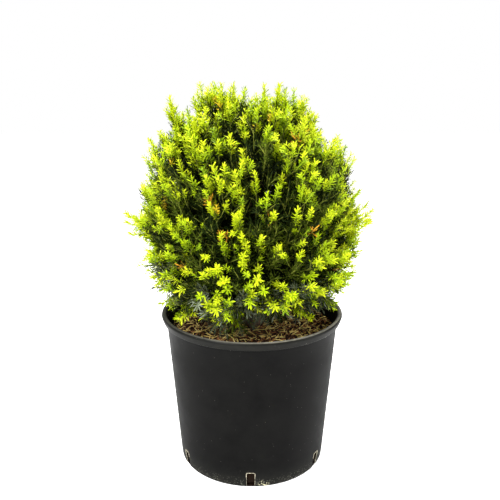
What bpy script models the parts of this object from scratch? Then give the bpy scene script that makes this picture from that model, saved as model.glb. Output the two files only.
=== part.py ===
"""A clipped yew ball in a round nursery pot, modelled in metres with +Z up.

The origin is the middle of the pot's flat underside, and the plant's front faces -Y.
The pot and its potting mix carry a short trunk. Boughs leave the trunk inside the crown,
and each one ends at the stem of its own mass of foliage. A mass is a dense inner core,
with forked shoots standing out of it and needles standing out of the shoots.
"""

import math
import random

import bmesh
import bpy
from mathutils import Matrix, Vector, noise

SEED = 11
GAP = 0.0003  # left between two pieces that touch
UP = Vector((0.0, 0.0, 1.0))

# The pot
POT_HEIGHT = 0.241
BASE_RADIUS = 0.114
SHOULDER_RADIUS = 0.1325  # outside of the wall, just under the rim
RIM_RADIUS = 0.140
RIM_DEPTH = 0.0125
ROLL_RADIUS = 0.004  # half the width of the rolled lip
BEAD_RADIUS = 0.0024  # of the lip's lower edge
WALL = 0.002
FLOOR = 0.0024
FOOT_ROUNDING = 0.003
TURN_STEPS = 36
SLOT_COUNT = 6
SLOT_WIDTH = 0.013
SLOT_HEIGHT = 0.025
SLOT_REACH = 0.014  # how far a slot runs into the floor
SLOT_TURN = math.radians(-91.0)

# The potting mix
MIX_LEVEL = 0.211  # where it meets the wall
MIX_CROWN = 0.216  # its level top round the trunk
MIX_TOP_RADIUS = 0.045

# The trunk and the boughs
TRUNK_TOP = 0.449
TRUNK_RADIUS = 0.0105
TRUNK_TIP_RADIUS = 0.0046
FLARE = 1.75  # width of the foot against the trunk above it
FLARE_HEIGHT = 0.020
TRUNK_LEAN = Vector((-0.004, 0.003, 0.0))
TRUNK_BENDS = 9
BOUGH_SHARE = 0.56  # width of a bough against the trunk that it leaves
BOUGH_TIP_RADIUS = 0.0027
BOUGH_POINTS = 7
LOWER_FORK = 0.262  # where the lowest bough leaves the trunk
UPPER_FORK = 0.338
FORK_STEP = 0.011

# The crown, out to the tips of its shoots
CROWN_CENTRE = Vector((-0.004, 0.0, 0.386))
CROWN_REACH = 0.168
CROWN_RISE = 0.194
CROWN_DROP = 0.164
SQUARENESS_ABOVE = 2.6  # 2 is an ellipsoid, more is boxier
SQUARENESS_BELOW = 3.2
SWELL = 0.035  # how far the clipped surface wanders in and out
SWELLS_ACROSS = 2.3
# Where the shears went deeper or the shoots ran on: the two ends of each fold as (azimuth from
# +X, slope), its half width, and the share that it adds to the crown, with angles in degrees
FOLDS = (
    ((-24.0, 52.0), (54.0, 28.0), 13.0, -0.150),
    ((-21.0, 68.0), (62.0, 43.0), 9.0, 0.055),
    ((-150.0, 52.0), (128.0, 34.0), 17.0, -0.085),
    ((-152.0, -8.0), (150.0, -28.0), 9.0, -0.070),
    ((-30.0, -4.0), (30.0, -16.0), 8.0, -0.030),
    ((-30.0, 24.0), (34.0, 14.0), 8.0, -0.030),
    ((-36.0, -29.0), (16.0, -42.0), 10.0, 0.080),
    ((-92.0, -44.0), (-52.0, -42.0), 19.0, -0.120),
    ((-170.0, 6.0), (165.0, -6.0), 8.0, 0.030),
    ((-14.0, 4.0), (14.0, -4.0), 7.0, 0.030),
    ((-120.0, 70.0), (140.0, 62.0), 12.0, 0.030),
)
CORE_SHARE = 0.80  # size of the cores against the crown, between their tufts
TUFT_CORNERS = 440
SHORTEST_TUFT = 0.06  # against the core's own size
LONGEST_TUFT = 0.22
TUFT_LEAN = 0.45
CORE_CLEARANCE = 0.0015  # from the trunk to the cores round its foot
HEART = 0.070  # the bare middle, where only the trunk and boughs are
MASS_GAP = 0.0006  # from a core to the plane between two masses
MASSES_IN_A_RING = 5
RING_TURN = 0.22  # of the spacing between two masses
RING_SLOPE = math.radians(25.0)
STEM_BACK = 0.006  # how far inside the heart a stem starts
STEM_DEPTH = 0.020

# The shoots
SHOOT_COUNT = 64
LOWEST_SHOOT = -0.85  # height of its heading from the crown's centre
UNEVENNESS = 0.22  # of the spacing of shoots and tufts
LIFT_AT_WAIST = 0.55  # how far a shoot turns up, against how far it points out
LIFT_WITH_HEIGHT = 0.65
SHOOT_RADIUS = 0.0028
SHOOT_TIP_RADIUS = 0.0015
SHOOT_PACE = 0.002
LONGEST_SHOOT = 0.080
ROOT_SHARE = 0.05  # how deep a root is sunk in its core, against the crown
SIDE_SIZE = 0.82  # a side shoot against its leader
SIDE_START = 0.05  # where it leaves the leader's bare foot
SIDE_ANGLE = math.radians(46.0)
FURTHEST_SIDE = 1.03  # a side shoot that would pass this share of the crown is left out
BUD_LENGTH = 0.005
NEEDLE_STEP = 0.011
NEEDLE_OUT = 0.012
NEEDLE_ON = 0.012  # how far a needle's tip leans on along its shoot
RING_TWIST = math.radians(43.0)
RIM_CLEARANCE = 0.002
TIP_WANDER = 0.035

# Shoots that grew past the clipped outline: azimuth from +X, rise over the crown's centre,
# distance from its upright axis, and how steeply they point up
LEADING_SHOOTS = (
    (176.0, 0.171, 0.122, 2.6),
    (172.0, 0.160, 0.106, 2.6),
    (179.0, 0.004, 0.187, 0.6),
    (184.0, -0.006, 0.184, 0.3),
    (-7.0, 0.010, 0.184, 0.6),
    (6.0, -0.006, 0.184, 0.4),
    (95.0, 0.010, 0.184, 0.5),
    (-140.0, 0.150, 0.098, 2.0),
    (-20.0, 0.194, 0.040, 3.0),
    (60.0, 0.192, 0.052, 3.0),
    (170.0, 0.194, 0.068, 3.0),
)

SHOP = bpy.data.collections.new("clipped_yew_in_pot")
CUTTERS = bpy.data.collections.new("cutters")


def material(name, colour, roughness):
    made = bpy.data.materials.new(name)
    made.use_nodes = True
    shader = made.node_tree.nodes["Principled BSDF"]
    shader.inputs["Base Color"].default_value = (*colour, 1.0)
    shader.inputs["Roughness"].default_value = roughness
    shader.inputs["Metallic"].default_value = 0.0
    return made


def place_in(collection, name, mesh, finish=None):
    made = bpy.data.objects.new(name, mesh)
    if finish:
        mesh.materials.append(finish)
    collection.objects.link(made)
    return made


def mesh_of(name, shape):
    """The bmesh shape as a mesh called name."""
    mesh = bpy.data.meshes.new(name)
    shape.to_mesh(mesh)
    shape.free()
    return mesh


def applied(thing):
    """Puts the object's modifiers into its mesh."""
    graph = bpy.context.evaluated_depsgraph_get()
    mesh = bpy.data.meshes.new_from_object(thing.evaluated_get(graph))
    thing.modifiers.clear()
    thing.data = mesh
    mesh.name = thing.name


def drop_scraps(shape):
    """Keeps the largest of the shape's separate bodies."""
    bodies = []
    unseen = set(shape.verts)
    while unseen:
        body = set()
        todo = [unseen.pop()]
        while todo:
            vert = todo.pop()
            body.add(vert)
            found = {edge.other_vert(vert) for edge in vert.link_edges} & unseen
            unseen -= found
            todo += found
        bodies.append(body)
    largest = max(bodies, key=len)
    scraps = [vert for vert in shape.verts if vert not in largest]
    bmesh.ops.delete(shape, geom=scraps, context="VERTS")


def turned(name, profile, finish):
    """A shape turned about Z from (radius, height) points, which run down its outer side."""
    mesh = bpy.data.meshes.new(name)
    points = [(radius, 0.0, height) for radius, height in profile]
    mesh.from_pydata(points, [(i, i + 1) for i in range(len(points) - 1)], [])
    made = place_in(SHOP, name, mesh, finish)
    screw = made.modifiers.new("turn", "SCREW")
    screw.steps = TURN_STEPS
    screw.render_steps = TURN_STEPS
    screw.use_merge_vertices = True
    screw.merge_threshold = 0.00001
    screw.use_smooth_shade = True
    applied(made)
    return made


def arc(centre, radius, start, end, count):
    """Points on an arc of the profile, its angles in degrees from straight out."""
    angles = [math.radians(start + (end - start) * i / (count - 1)) for i in range(count)]
    radial, height = centre
    return [(radial + radius * math.cos(a), height + radius * math.sin(a)) for a in angles]


def wall_radius(height):
    """Outside radius of the pot's wall, which tapers evenly from its shoulder to its base."""
    share = height / (POT_HEIGHT - RIM_DEPTH)
    return BASE_RADIUS + (SHOULDER_RADIUS - BASE_RADIUS) * share


def make_pot():
    rim_foot = POT_HEIGHT - RIM_DEPTH
    roll = (RIM_RADIUS - ROLL_RADIUS, POT_HEIGHT - ROLL_RADIUS)
    bead = (RIM_RADIUS - ROLL_RADIUS - 0.0005, rim_foot + BEAD_RADIUS)
    profile = [(0.0, FLOOR), (wall_radius(FLOOR) - WALL, FLOOR)]
    profile.append((SHOULDER_RADIUS - WALL, rim_foot))
    profile += arc(roll, ROLL_RADIUS, 180.0, -10.0, 7)
    profile += arc(bead, BEAD_RADIUS, 0.0, -90.0, 3)
    profile.append((SHOULDER_RADIUS, rim_foot - 0.0005))
    profile.append((wall_radius(FOOT_ROUNDING), FOOT_ROUNDING))
    profile += [(BASE_RADIUS - FOOT_ROUNDING, 0.0), (0.0, 0.0)]
    pot = turned("pot", profile, material("black_plastic", (0.022, 0.022, 0.021), 0.5))
    slots = pot.modifiers.new("slots", "BOOLEAN")
    slots.operation = "DIFFERENCE"
    slots.operand_type = "COLLECTION"
    slots.collection = make_slot_cutters()
    applied(pot)
    pot.data.shade_smooth()
    pot.data.set_sharp_from_angle(angle=math.radians(40.0))


def make_slot_cutters():
    """One box for each drainage slot, through the foot of the wall and the edge of the floor."""
    outer = BASE_RADIUS + SLOT_REACH
    inner = BASE_RADIUS - SLOT_REACH
    for i in range(SLOT_COUNT):
        turn = Matrix.Rotation(SLOT_TURN + math.tau * i / SLOT_COUNT, 4, "Z")
        middle = Vector(((outer + inner) / 2, 0.0, 0.0))
        size = Matrix.Diagonal((outer - inner, SLOT_WIDTH, 2 * SLOT_HEIGHT, 1.0))
        box = bmesh.new()
        bmesh.ops.create_cube(box, size=1.0, matrix=turn @ Matrix.Translation(middle) @ size)
        cutter = place_in(CUTTERS, f"slot_cutter_{i + 1}", mesh_of("slot_cutter", box))
        cutter.hide_render = True
        cutter.display_type = "WIRE"
    return CUTTERS


def make_potting_mix():
    floor = FLOOR + GAP
    profile = [(0.0, MIX_CROWN), (MIX_TOP_RADIUS, MIX_CROWN)]
    for share in (0.6, 1.0):
        edge = wall_radius(MIX_LEVEL) - WALL - GAP
        radius = MIX_TOP_RADIUS + (edge - MIX_TOP_RADIUS) * share
        profile.append((radius, MIX_CROWN + (MIX_LEVEL - MIX_CROWN) * share**1.5))
    profile += [(wall_radius(floor) - WALL - GAP, floor), (0.0, floor)]
    turned("potting_mix", profile, material("potting_mix", (0.075, 0.048, 0.022), 0.95))


def limb(collection, name, path, radii, roundness, finish=None):
    """A tapering round limb with flat ends: a bevelled curve made into a closed mesh."""
    curve = bpy.data.curves.new(name, "CURVE")
    curve.dimensions = "3D"
    curve.bevel_depth = 1.0
    curve.bevel_resolution = roundness
    curve.use_fill_caps = True
    spline = curve.splines.new("POLY")
    spline.points.add(len(path) - 1)
    for point, place, radius in zip(spline.points, path, radii):
        point.co = (*place, 1.0)
        point.radius = radius
    tube = place_in(SHOP, name + "_curve", curve)
    graph = bpy.context.evaluated_depsgraph_get()
    mesh = bpy.data.meshes.new_from_object(tube.evaluated_get(graph))
    bpy.data.objects.remove(tube)
    shape = bmesh.new()
    shape.from_mesh(mesh)
    bmesh.ops.remove_doubles(shape, verts=shape.verts, dist=0.00001)
    bmesh.ops.recalc_face_normals(shape, faces=shape.faces)
    made = place_in(collection, name, mesh_of(name, shape), finish)
    made.data.shade_smooth()
    return made


def trunk_point(height):
    """The trunk's axis at this height: upright at the foot, then leaning a little."""
    share = (height - MIX_CROWN) / (TRUNK_TOP - MIX_CROWN)
    sway = Vector((math.sin(share * math.pi), math.sin(share * math.tau), 0.0)) * 0.002
    return TRUNK_LEAN * share**2 + sway * share + UP * height


def trunk_radius(height):
    share = (height - MIX_CROWN) / (TRUNK_TOP - MIX_CROWN)
    flare = (FLARE - 1.0) * math.exp(-(height - MIX_CROWN) / (FLARE_HEIGHT / 2))
    return (TRUNK_RADIUS + (TRUNK_TIP_RADIUS - TRUNK_RADIUS) * share) * (1.0 + flare)


def make_trunk(collection, name, extra, finish=None):
    """The trunk, thicker all round by extra."""
    foot = MIX_CROWN + GAP
    heights = [foot, foot + 0.004, foot + 0.010, foot + FLARE_HEIGHT]
    step = (TRUNK_TOP - heights[-1]) / (TRUNK_BENDS - len(heights))
    heights += [heights[-1] + step * (i + 1) for i in range(TRUNK_BENDS - len(heights))]
    path = [trunk_point(height) for height in heights]
    path[1].xy = path[0].xy
    path[-2].xy = path[-1].xy
    path[-1] += UP * extra
    radii = [trunk_radius(height) + extra for height in heights]
    return limb(collection, name, path, radii, 2, finish)


def cut_by(thing, cutter):
    cut = thing.modifiers.new("cut", "BOOLEAN")
    cut.operation = "DIFFERENCE"
    cut.object = cutter
    applied(thing)


def mass_directions():
    """Each mass's name and the direction of its middle from the crown's centre."""
    found = {"foliage_top": UP.copy()}
    for ring, slope, offset in (("upper", RING_SLOPE, 0.5), ("lower", -RING_SLOPE, 0.0)):
        for i in range(MASSES_IN_A_RING):
            azimuth = math.tau * (i + offset + RING_TURN) / MASSES_IN_A_RING - math.pi / 2
            level = Vector((math.cos(azimuth), math.sin(azimuth), 0.0))
            name = f"foliage_{ring}_{i + 1}"
            found[name] = level * math.cos(slope) + UP * math.sin(slope)
    return found


def stem_start(direction):
    """Where the stem of the mass in this direction starts, at the end of its bough."""
    if direction == UP:
        return trunk_point(TRUNK_TOP) + UP * GAP
    return CROWN_CENTRE + direction * (HEART - STEM_BACK)


def make_bough(name, direction, fork, trunk_cutter, finish):
    """One limb from the trunk's axis, rising and then bending out to the stem of its mass."""
    start = trunk_point(fork)
    tip = stem_start(direction) - direction * GAP
    level = Vector((direction.x, direction.y, 0.0)).normalized()
    pull = (tip - start).length * 0.45
    first = start + (level + UP * 0.9).normalized() * pull
    second = tip - direction * pull
    path = []
    for i in range(BOUGH_POINTS):
        t = i / (BOUGH_POINTS - 1)
        near = start * (1 - t) ** 3 + first * 3 * t * (1 - t) ** 2
        path.append(near + second * 3 * t**2 * (1 - t) + tip * t**3)
    path[-2] = tip - direction * (tip - path[-2]).length
    spread = [i / (BOUGH_POINTS - 1) for i in range(BOUGH_POINTS)]
    thick = trunk_radius(fork) * BOUGH_SHARE
    radii = [thick + (BOUGH_TIP_RADIUS - thick) * share for share in spread]
    bough = limb(SHOP, name, path, radii, 1, finish)
    cut_by(bough, trunk_cutter)


def towards(azimuth, slope):
    """The unit vector with this azimuth and slope, in degrees."""
    turn, rise = math.radians(azimuth), math.radians(slope)
    level = math.cos(rise)
    return Vector((math.cos(turn) * level, math.sin(turn) * level, math.sin(rise)))


def depth_in_fold(direction, start, end, width):
    """1 on the line of a fold, 0 at its half width and further, and smooth between."""
    span = end - start
    share = (direction - start).dot(span) / span.length_squared
    nearest = start + span * min(1.0, max(0.0, share))
    t = min(1.0, math.degrees(direction.angle(nearest)) / width)
    return 1.0 - t * t * (3.0 - 2.0 * t)


def crown_distance(direction):
    """From the crown's centre to its surface: a boxy ellipsoid that wanders a little, with
    folds in it."""
    out = math.hypot(direction.x, direction.y) / CROWN_REACH
    above = direction.z > 0
    rise = abs(direction.z) / (CROWN_RISE if above else CROWN_DROP)
    power = SQUARENESS_ABOVE if above else SQUARENESS_BELOW
    swell = 1.0 + SWELL * noise.noise(direction * SWELLS_ACROSS)
    for start, end, width, change in FOLDS:
        swell += change * depth_in_fold(direction, towards(*start), towards(*end), width)
    return swell * (out**power + rise**power) ** (-1 / power)


def crown_share(point):
    """0 at the crown's centre and 1 on its surface."""
    arm = point - CROWN_CENTRE
    return arm.length / crown_distance(arm.normalized())


def walls_of(name, directions):
    """The planes through the crown's centre that part this mass from the others, as
    normals that point into its own space."""
    own = directions[name]
    return [(own - other).normalized() for key, other in directions.items() if key != name]


def spread_headings(count, dice):
    """Unit vectors spread evenly over a sphere along one golden-angle spiral, then shaken."""
    golden_turn = math.pi * (3.0 - math.sqrt(5.0))
    shake = UNEVENNESS * math.sqrt(4.0 * math.pi / count)
    for i in range(count):
        height = 1.0 - 2.0 * (i + 0.5) / count
        level = math.sqrt(1.0 - height**2)
        even = Vector((math.cos(golden_turn * i) * level, math.sin(golden_turn * i) * level, height))
        yield (even + Vector(dice.uniform(-shake, shake) for _ in range(3))).normalized()


def tufted_ball(dice):
    """The whole crown's dense inside: a ball whose every face rises to the tip of a short
    tuft. Each tip stays over its own face, nearer the upper corner, so no two tufts meet."""
    ball = bmesh.new()
    for heading in spread_headings(TUFT_CORNERS, dice):
        ball.verts.new(heading)
    bmesh.ops.convex_hull(ball, input=ball.verts)
    for face in list(ball.faces):
        highest = max(face.verts, key=lambda corner: corner.co.z).co.copy()
        tip = bmesh.ops.poke(ball, faces=[face])["verts"][0]
        tip.co = tip.co.lerp(highest, TUFT_LEAN).normalized()
        tip.co *= 1.0 + dice.uniform(SHORTEST_TUFT, LONGEST_TUFT)
    for vert in ball.verts:
        heading = vert.co.normalized()
        vert.co = CROWN_CENTRE + vert.co * crown_distance(heading) * CORE_SHARE
    return ball


def make_core(name, ball, direction, walls, finish):
    """The dense inside of a mass: the tufted ball, cut to the mass's own space."""
    shape = ball.copy()
    cuts = [(CROWN_CENTRE + wall * MASS_GAP, -wall) for wall in walls]
    cuts.append((CROWN_CENTRE + direction * HEART, -direction))
    for place, outwards in cuts:
        everything = [*shape.verts, *shape.edges, *shape.faces]
        cut = bmesh.ops.bisect_plane(
            shape, geom=everything, plane_co=place, plane_no=outwards, clear_outer=True
        )
        edges = [item for item in cut["geom_cut"] if isinstance(item, bmesh.types.BMEdge)]
        if edges:
            bmesh.ops.edgenet_fill(shape, edges=edges)
    bmesh.ops.remove_doubles(shape, verts=shape.verts, dist=0.00002)
    bmesh.ops.triangulate(shape, faces=shape.faces)
    drop_scraps(shape)
    bmesh.ops.recalc_face_normals(shape, faces=shape.faces)
    return place_in(SHOP, name, mesh_of(name, shape), finish)


def shoot_shape(bare, leafy, size, dice):
    """A shoot along +Z from the origin: a three-sided twig, bare at first, then ringed with
    needles that each rise from one of its faces and lean on towards its tip."""
    rings = max(1, round(leafy / NEEDLE_STEP))
    shape = bmesh.new()
    bmesh.ops.create_cone(
        shape,
        cap_ends=True,
        segments=3,
        radius1=SHOOT_RADIUS * size,
        radius2=SHOOT_TIP_RADIUS,
        depth=bare + leafy,
        matrix=Matrix.Translation(UP * (bare + leafy) / 2),
    )
    for i in range(rings):
        everything = [*shape.verts, *shape.edges, *shape.faces]
        place = UP * (bare + leafy * i / rings)
        bmesh.ops.bisect_plane(shape, geom=everything, plane_co=place, plane_no=UP)
    for vert in shape.verts:
        turn = max(0.0, vert.co.z - bare) / leafy * rings * RING_TWIST
        vert.co.rotate(Matrix.Rotation(turn, 3, "Z"))
    needled = [face for face in shape.faces if face.calc_center_median().z > bare]
    bmesh.ops.recalc_face_normals(shape, faces=shape.faces)
    for face in needled:
        outwards = Vector((face.normal.x, face.normal.y, 0.0))
        is_bud = outwards.length < 0.5
        tip = bmesh.ops.poke(shape, faces=[face])["verts"][0]
        reach = size * dice.uniform(0.85, 1.15)
        if is_bud:
            tip.co += UP * BUD_LENGTH
        else:
            tip.co += UP * NEEDLE_ON * reach + outwards.normalized() * NEEDLE_OUT * reach
    bmesh.ops.triangulate(shape, faces=shape.faces)
    return shape


def clear_of_pot(point):
    """Whether a shoot's point is clear of the pot's rim and the potting mix."""
    out = math.hypot(point.x, point.y)
    over_rim = point.z > POT_HEIGHT + RIM_CLEARANCE
    inside_rim = out < SHOULDER_RADIUS - WALL - 2 * RIM_CLEARANCE
    return over_rim or (inside_rim and point.z > MIX_CROWN + RIM_CLEARANCE)


def grow_shoot(twigs, root, heading, shape, walls, dice):
    """Turns the shoot's shape to its heading and moves it over into its mass's space where
    it would leave it. It gives the shoot's final root, or None for one that is skipped
    because it would touch the pot or not reach into the core."""
    spin = Matrix.Rotation(dice.uniform(0.0, math.tau), 4, "Z")
    aim = heading.to_track_quat("Z", "Y").to_matrix().to_4x4()
    shape.transform(Matrix.Translation(root) @ aim @ spin)
    moved = Vector()
    for _ in range(3):
        for wall in walls:
            room = min(wall.dot(v.co - CROWN_CENTRE) for v in shape.verts) + wall.dot(moved)
            moved += wall * max(0.0, MASS_GAP - room)
    bmesh.ops.translate(shape, verts=shape.verts, vec=moved)
    clear = all(clear_of_pot(v.co) for v in shape.verts)
    if clear and crown_share(root + moved) < CORE_SHARE:
        place_in(twigs, "shoot", mesh_of("shoot", shape))
        return root + moved
    shape.free()
    return None


def way_in(tip, heading, share):
    """How far back along a shoot its axis comes within this share of the crown."""
    back = 0.0
    while crown_share(tip - heading * back) > share and back < LONGEST_SHOOT:
        back += SHOOT_PACE
    return back


def grow_forked_shoot(twigs, tip, heading, walls, dice):
    """A leader that ends at tip, rooted in the core, and a side shoot from its foot."""
    end = tip - heading * BUD_LENGTH
    tuft_tips = CORE_SHARE * (1.0 + (SHORTEST_TUFT + LONGEST_TUFT) / 2)
    leafy = max(NEEDLE_STEP, way_in(end, heading, tuft_tips))
    bare = max(NEEDLE_STEP, way_in(end, heading, CORE_SHARE - ROOT_SHARE) - leafy)
    root = end - heading * (leafy + bare)
    leader = shoot_shape(bare, leafy, 1.0, dice)
    rooted = grow_shoot(twigs, root, heading, leader, walls, dice)
    if rooted is None:
        return
    aside = Vector((dice.uniform(-1, 1), dice.uniform(-1, 1), dice.uniform(-1, 1)))
    side_heading = heading.copy()
    side_heading.rotate(Matrix.Rotation(SIDE_ANGLE, 3, heading.cross(aside).normalized()))
    side_leafy = leafy * SIDE_SIZE
    side_root = rooted + heading * bare * SIDE_START
    if crown_share(side_root + side_heading * (bare + side_leafy)) < FURTHEST_SIDE:
        side_shoot = shoot_shape(bare, side_leafy, SIDE_SIZE, dice)
        grow_shoot(twigs, side_root, side_heading, side_shoot, walls, dice)


def shoot_heading(arm, lift):
    """Shoots point out from the ball and up, more so the higher they grow."""
    return (arm.normalized() + UP * lift).normalized()


def crown_shoots(dice):
    """Tip and heading of every shoot: evenly spread over the crown, then the leading ones."""
    found = []
    for arm in spread_headings(SHOOT_COUNT, dice):
        if arm.z < LOWEST_SHOOT:
            continue
        reach = crown_distance(arm) * (1.0 + dice.uniform(-TIP_WANDER, TIP_WANDER))
        lift = LIFT_AT_WAIST + LIFT_WITH_HEIGHT * arm.z + dice.uniform(-0.1, 0.1)
        found.append((CROWN_CENTRE + arm * reach, shoot_heading(arm, lift)))
    for azimuth, rise, out, lift in LEADING_SHOOTS:
        angle = math.radians(azimuth)
        arm = Vector((math.cos(angle) * out, math.sin(angle) * out, rise))
        found.append((CROWN_CENTRE + arm, shoot_heading(arm, lift)))
    return found


def make_mass(name, directions, ball, shoots, trunk_space, finish, dice):
    """One mass of foliage: core, stem and shoots, joined into one body."""
    direction = directions[name]
    walls = walls_of(name, directions)
    core = make_core(name, ball, direction, walls, finish)
    cut_by(core, trunk_space)
    twigs = bpy.data.collections.new(name + "_twigs")
    bpy.context.scene.collection.children.link(twigs)
    start = stem_start(direction)
    end = start + direction * (STEM_BACK + STEM_DEPTH)
    radius = TRUNK_TIP_RADIUS if direction == UP else BOUGH_TIP_RADIUS
    limb(twigs, "stem", [start, end], [radius, radius * 0.8], 1)
    for tip, heading in shoots:
        nearest = max(directions, key=lambda key: directions[key].dot(tip - CROWN_CENTRE))
        if nearest == name:
            grow_forked_shoot(twigs, tip, heading, walls, dice)
    join = core.modifiers.new("join", "BOOLEAN")
    join.operation = "UNION"
    join.operand_type = "COLLECTION"
    join.collection = twigs
    applied(core)
    for twig in list(twigs.objects):
        bpy.data.objects.remove(twig)
    bpy.data.collections.remove(twigs)
    joined = bmesh.new()
    joined.from_mesh(core.data)
    drop_scraps(joined)
    joined.to_mesh(core.data)
    joined.free()


def make_all():
    for thing in list(bpy.data.objects):
        bpy.data.objects.remove(thing)
    bpy.context.scene.collection.children.link(SHOP)
    bpy.context.scene.collection.children.link(CUTTERS)
    make_pot()
    make_potting_mix()
    bark = material("bark", (0.11, 0.065, 0.040), 0.9)
    make_trunk(SHOP, "trunk", 0.0, bark)
    trunk_cutter = make_trunk(CUTTERS, "trunk_cutter", GAP)
    trunk_space = make_trunk(CUTTERS, "trunk_space", CORE_CLEARANCE)
    for helper in (trunk_cutter, trunk_space):
        helper.hide_render = True
        helper.display_type = "WIRE"
    directions = mass_directions()
    for ring, lowest_fork in (("upper", UPPER_FORK), ("lower", LOWER_FORK)):
        for i in range(MASSES_IN_A_RING):
            fork = lowest_fork + FORK_STEP * (2 * i % MASSES_IN_A_RING)
            direction = directions[f"foliage_{ring}_{i + 1}"]
            make_bough(f"bough_{ring}_{i + 1}", direction, fork, trunk_cutter, bark)
    dice = random.Random(SEED)
    ball = tufted_ball(dice)
    shoots = crown_shoots(dice)
    leaves = material("yew_needles", (0.23, 0.34, 0.03), 0.6)
    for name in directions:
        make_mass(name, directions, ball, shoots, trunk_space, leaves, dice)
    ball.free()


make_all()
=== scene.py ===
# %% [markdown]
# # A clipped yew ball in a nursery pot
#
# The plant is a young yew that has been clipped to a ball and sold in a black nursery pot.
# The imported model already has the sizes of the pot, the potting mix, the trunk, the boughs
# and eleven masses of foliage. This lesson dresses that model: it turns the pot finely,
# fills it with loose potting mix, gives the limbs their bark, and grows the twigs and
# needles that the plain masses stand for.
#
# All lengths are in metres. The origin is the middle of the pot's flat underside, +Z is up,
# and the plant's front faces -Y.

import math
import random

import bmesh
import bpy
from mathutils import Matrix, Vector, noise


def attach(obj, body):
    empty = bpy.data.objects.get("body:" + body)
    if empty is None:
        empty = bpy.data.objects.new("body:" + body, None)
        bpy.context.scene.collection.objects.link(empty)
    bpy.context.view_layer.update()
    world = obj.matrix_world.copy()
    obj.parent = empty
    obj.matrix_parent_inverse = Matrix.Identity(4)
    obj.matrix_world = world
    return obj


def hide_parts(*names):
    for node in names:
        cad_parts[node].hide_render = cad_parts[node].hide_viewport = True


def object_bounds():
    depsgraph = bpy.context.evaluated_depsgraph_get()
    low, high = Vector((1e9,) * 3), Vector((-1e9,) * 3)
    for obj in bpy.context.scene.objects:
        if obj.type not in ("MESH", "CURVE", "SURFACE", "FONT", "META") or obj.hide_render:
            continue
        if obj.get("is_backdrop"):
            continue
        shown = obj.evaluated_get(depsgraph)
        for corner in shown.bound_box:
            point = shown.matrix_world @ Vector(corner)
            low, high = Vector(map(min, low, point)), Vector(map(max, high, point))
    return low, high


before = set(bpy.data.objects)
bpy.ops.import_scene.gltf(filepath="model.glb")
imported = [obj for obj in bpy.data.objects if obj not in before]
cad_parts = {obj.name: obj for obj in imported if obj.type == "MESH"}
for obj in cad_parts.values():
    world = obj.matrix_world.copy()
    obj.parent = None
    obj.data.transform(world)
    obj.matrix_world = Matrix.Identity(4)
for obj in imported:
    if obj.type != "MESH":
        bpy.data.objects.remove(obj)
model_box = [list(corner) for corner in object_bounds()]
scene = bpy.context.scene
UP = Vector((0.0, 0.0, 1.0))
MASSES = sorted(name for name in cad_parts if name.startswith("foliage_"))
LIMBS = sorted(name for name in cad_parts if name.startswith(("trunk", "bough_")))
print(f"{len(MASSES)} masses of foliage on {len(LIMBS)} limbs, box {model_box}")

# %% [markdown]
# ## Camera, floor and light
#
# Nursery plants are shown on a seamless white ground under broad soft light, so that the
# greens read clearly. The same look needs three things here: a pale floor with no edge in
# view, a pale world that fills the shadows, and two large lamps. A small lamp would give
# hard shadows between the needles, and one lamp alone would leave one side black, so the
# key lamp is a wide panel above and to the left, with a weaker panel on the right.
#
# The colours are shown without a film curve, because such a curve dulls the bright
# yellow-green of young shoots.

# %% Camera
CAMERA_PLACE = (-0.003, -0.958, 0.592)
CAMERA_TILT = math.radians(75.0)  # 90 looks level
LENS_MM = 46.8
SENSOR_MM = 36.0

lens = bpy.data.cameras.new("camera")
lens.lens = LENS_MM
lens.sensor_width = SENSOR_MM
camera = bpy.data.objects.new("camera", lens)
camera.location = CAMERA_PLACE
camera.rotation_euler = (CAMERA_TILT, 0.0, 0.0)
scene.collection.objects.link(camera)
scene.camera = camera
scene.view_settings.view_transform = "Standard"
print("camera at", CAMERA_PLACE)

# %% Floor, world and lamps
FLOOR_SIZE = 12.0
WORLD_LIGHT = 0.62  # what the pale room gives the plant
WORLD_SEEN = 1.0  # how bright the room itself is in the picture
FLOOR_GLOW = 0.42  # a white ground that is lit from below as well
FLOOR_TONE = (0.93, 0.93, 0.925, 1.0)
WHITE = (1.0, 1.0, 1.0, 1.0)
LAMP_AIM = Vector((0.0, 0.0, 0.3))

world = bpy.data.worlds.new("studio")
world.use_nodes = True
sky = world.node_tree.nodes["Background"]
sky.inputs["Color"].default_value = WHITE
ray = world.node_tree.nodes.new("ShaderNodeLightPath")
strength = world.node_tree.nodes.new("ShaderNodeMapRange")
strength.inputs["To Min"].default_value = WORLD_LIGHT
strength.inputs["To Max"].default_value = WORLD_SEEN
world.node_tree.links.new(ray.outputs["Is Camera Ray"], strength.inputs["Value"])
world.node_tree.links.new(strength.outputs[0], sky.inputs["Strength"])
scene.world = world


def soft_lamp(name, place, size, watts):
    """A square panel that shines at the middle of the plant."""
    panel = bpy.data.lights.new(name, "AREA")
    panel.size = size
    panel.energy = watts
    lamp = bpy.data.objects.new(name, panel)
    lamp.location = place
    aim = LAMP_AIM - Vector(place)
    lamp.rotation_euler = aim.to_track_quat("-Z", "Y").to_euler()
    scene.collection.objects.link(lamp)


soft_lamp("key_panel", (-1.1, -1.3, 1.9), 1.2, 90.0)
soft_lamp("top_panel", (0.2, 0.3, 2.2), 1.4, 78.0)
soft_lamp("side_panel", (1.7, -0.4, 0.9), 1.0, 20.0)

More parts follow.
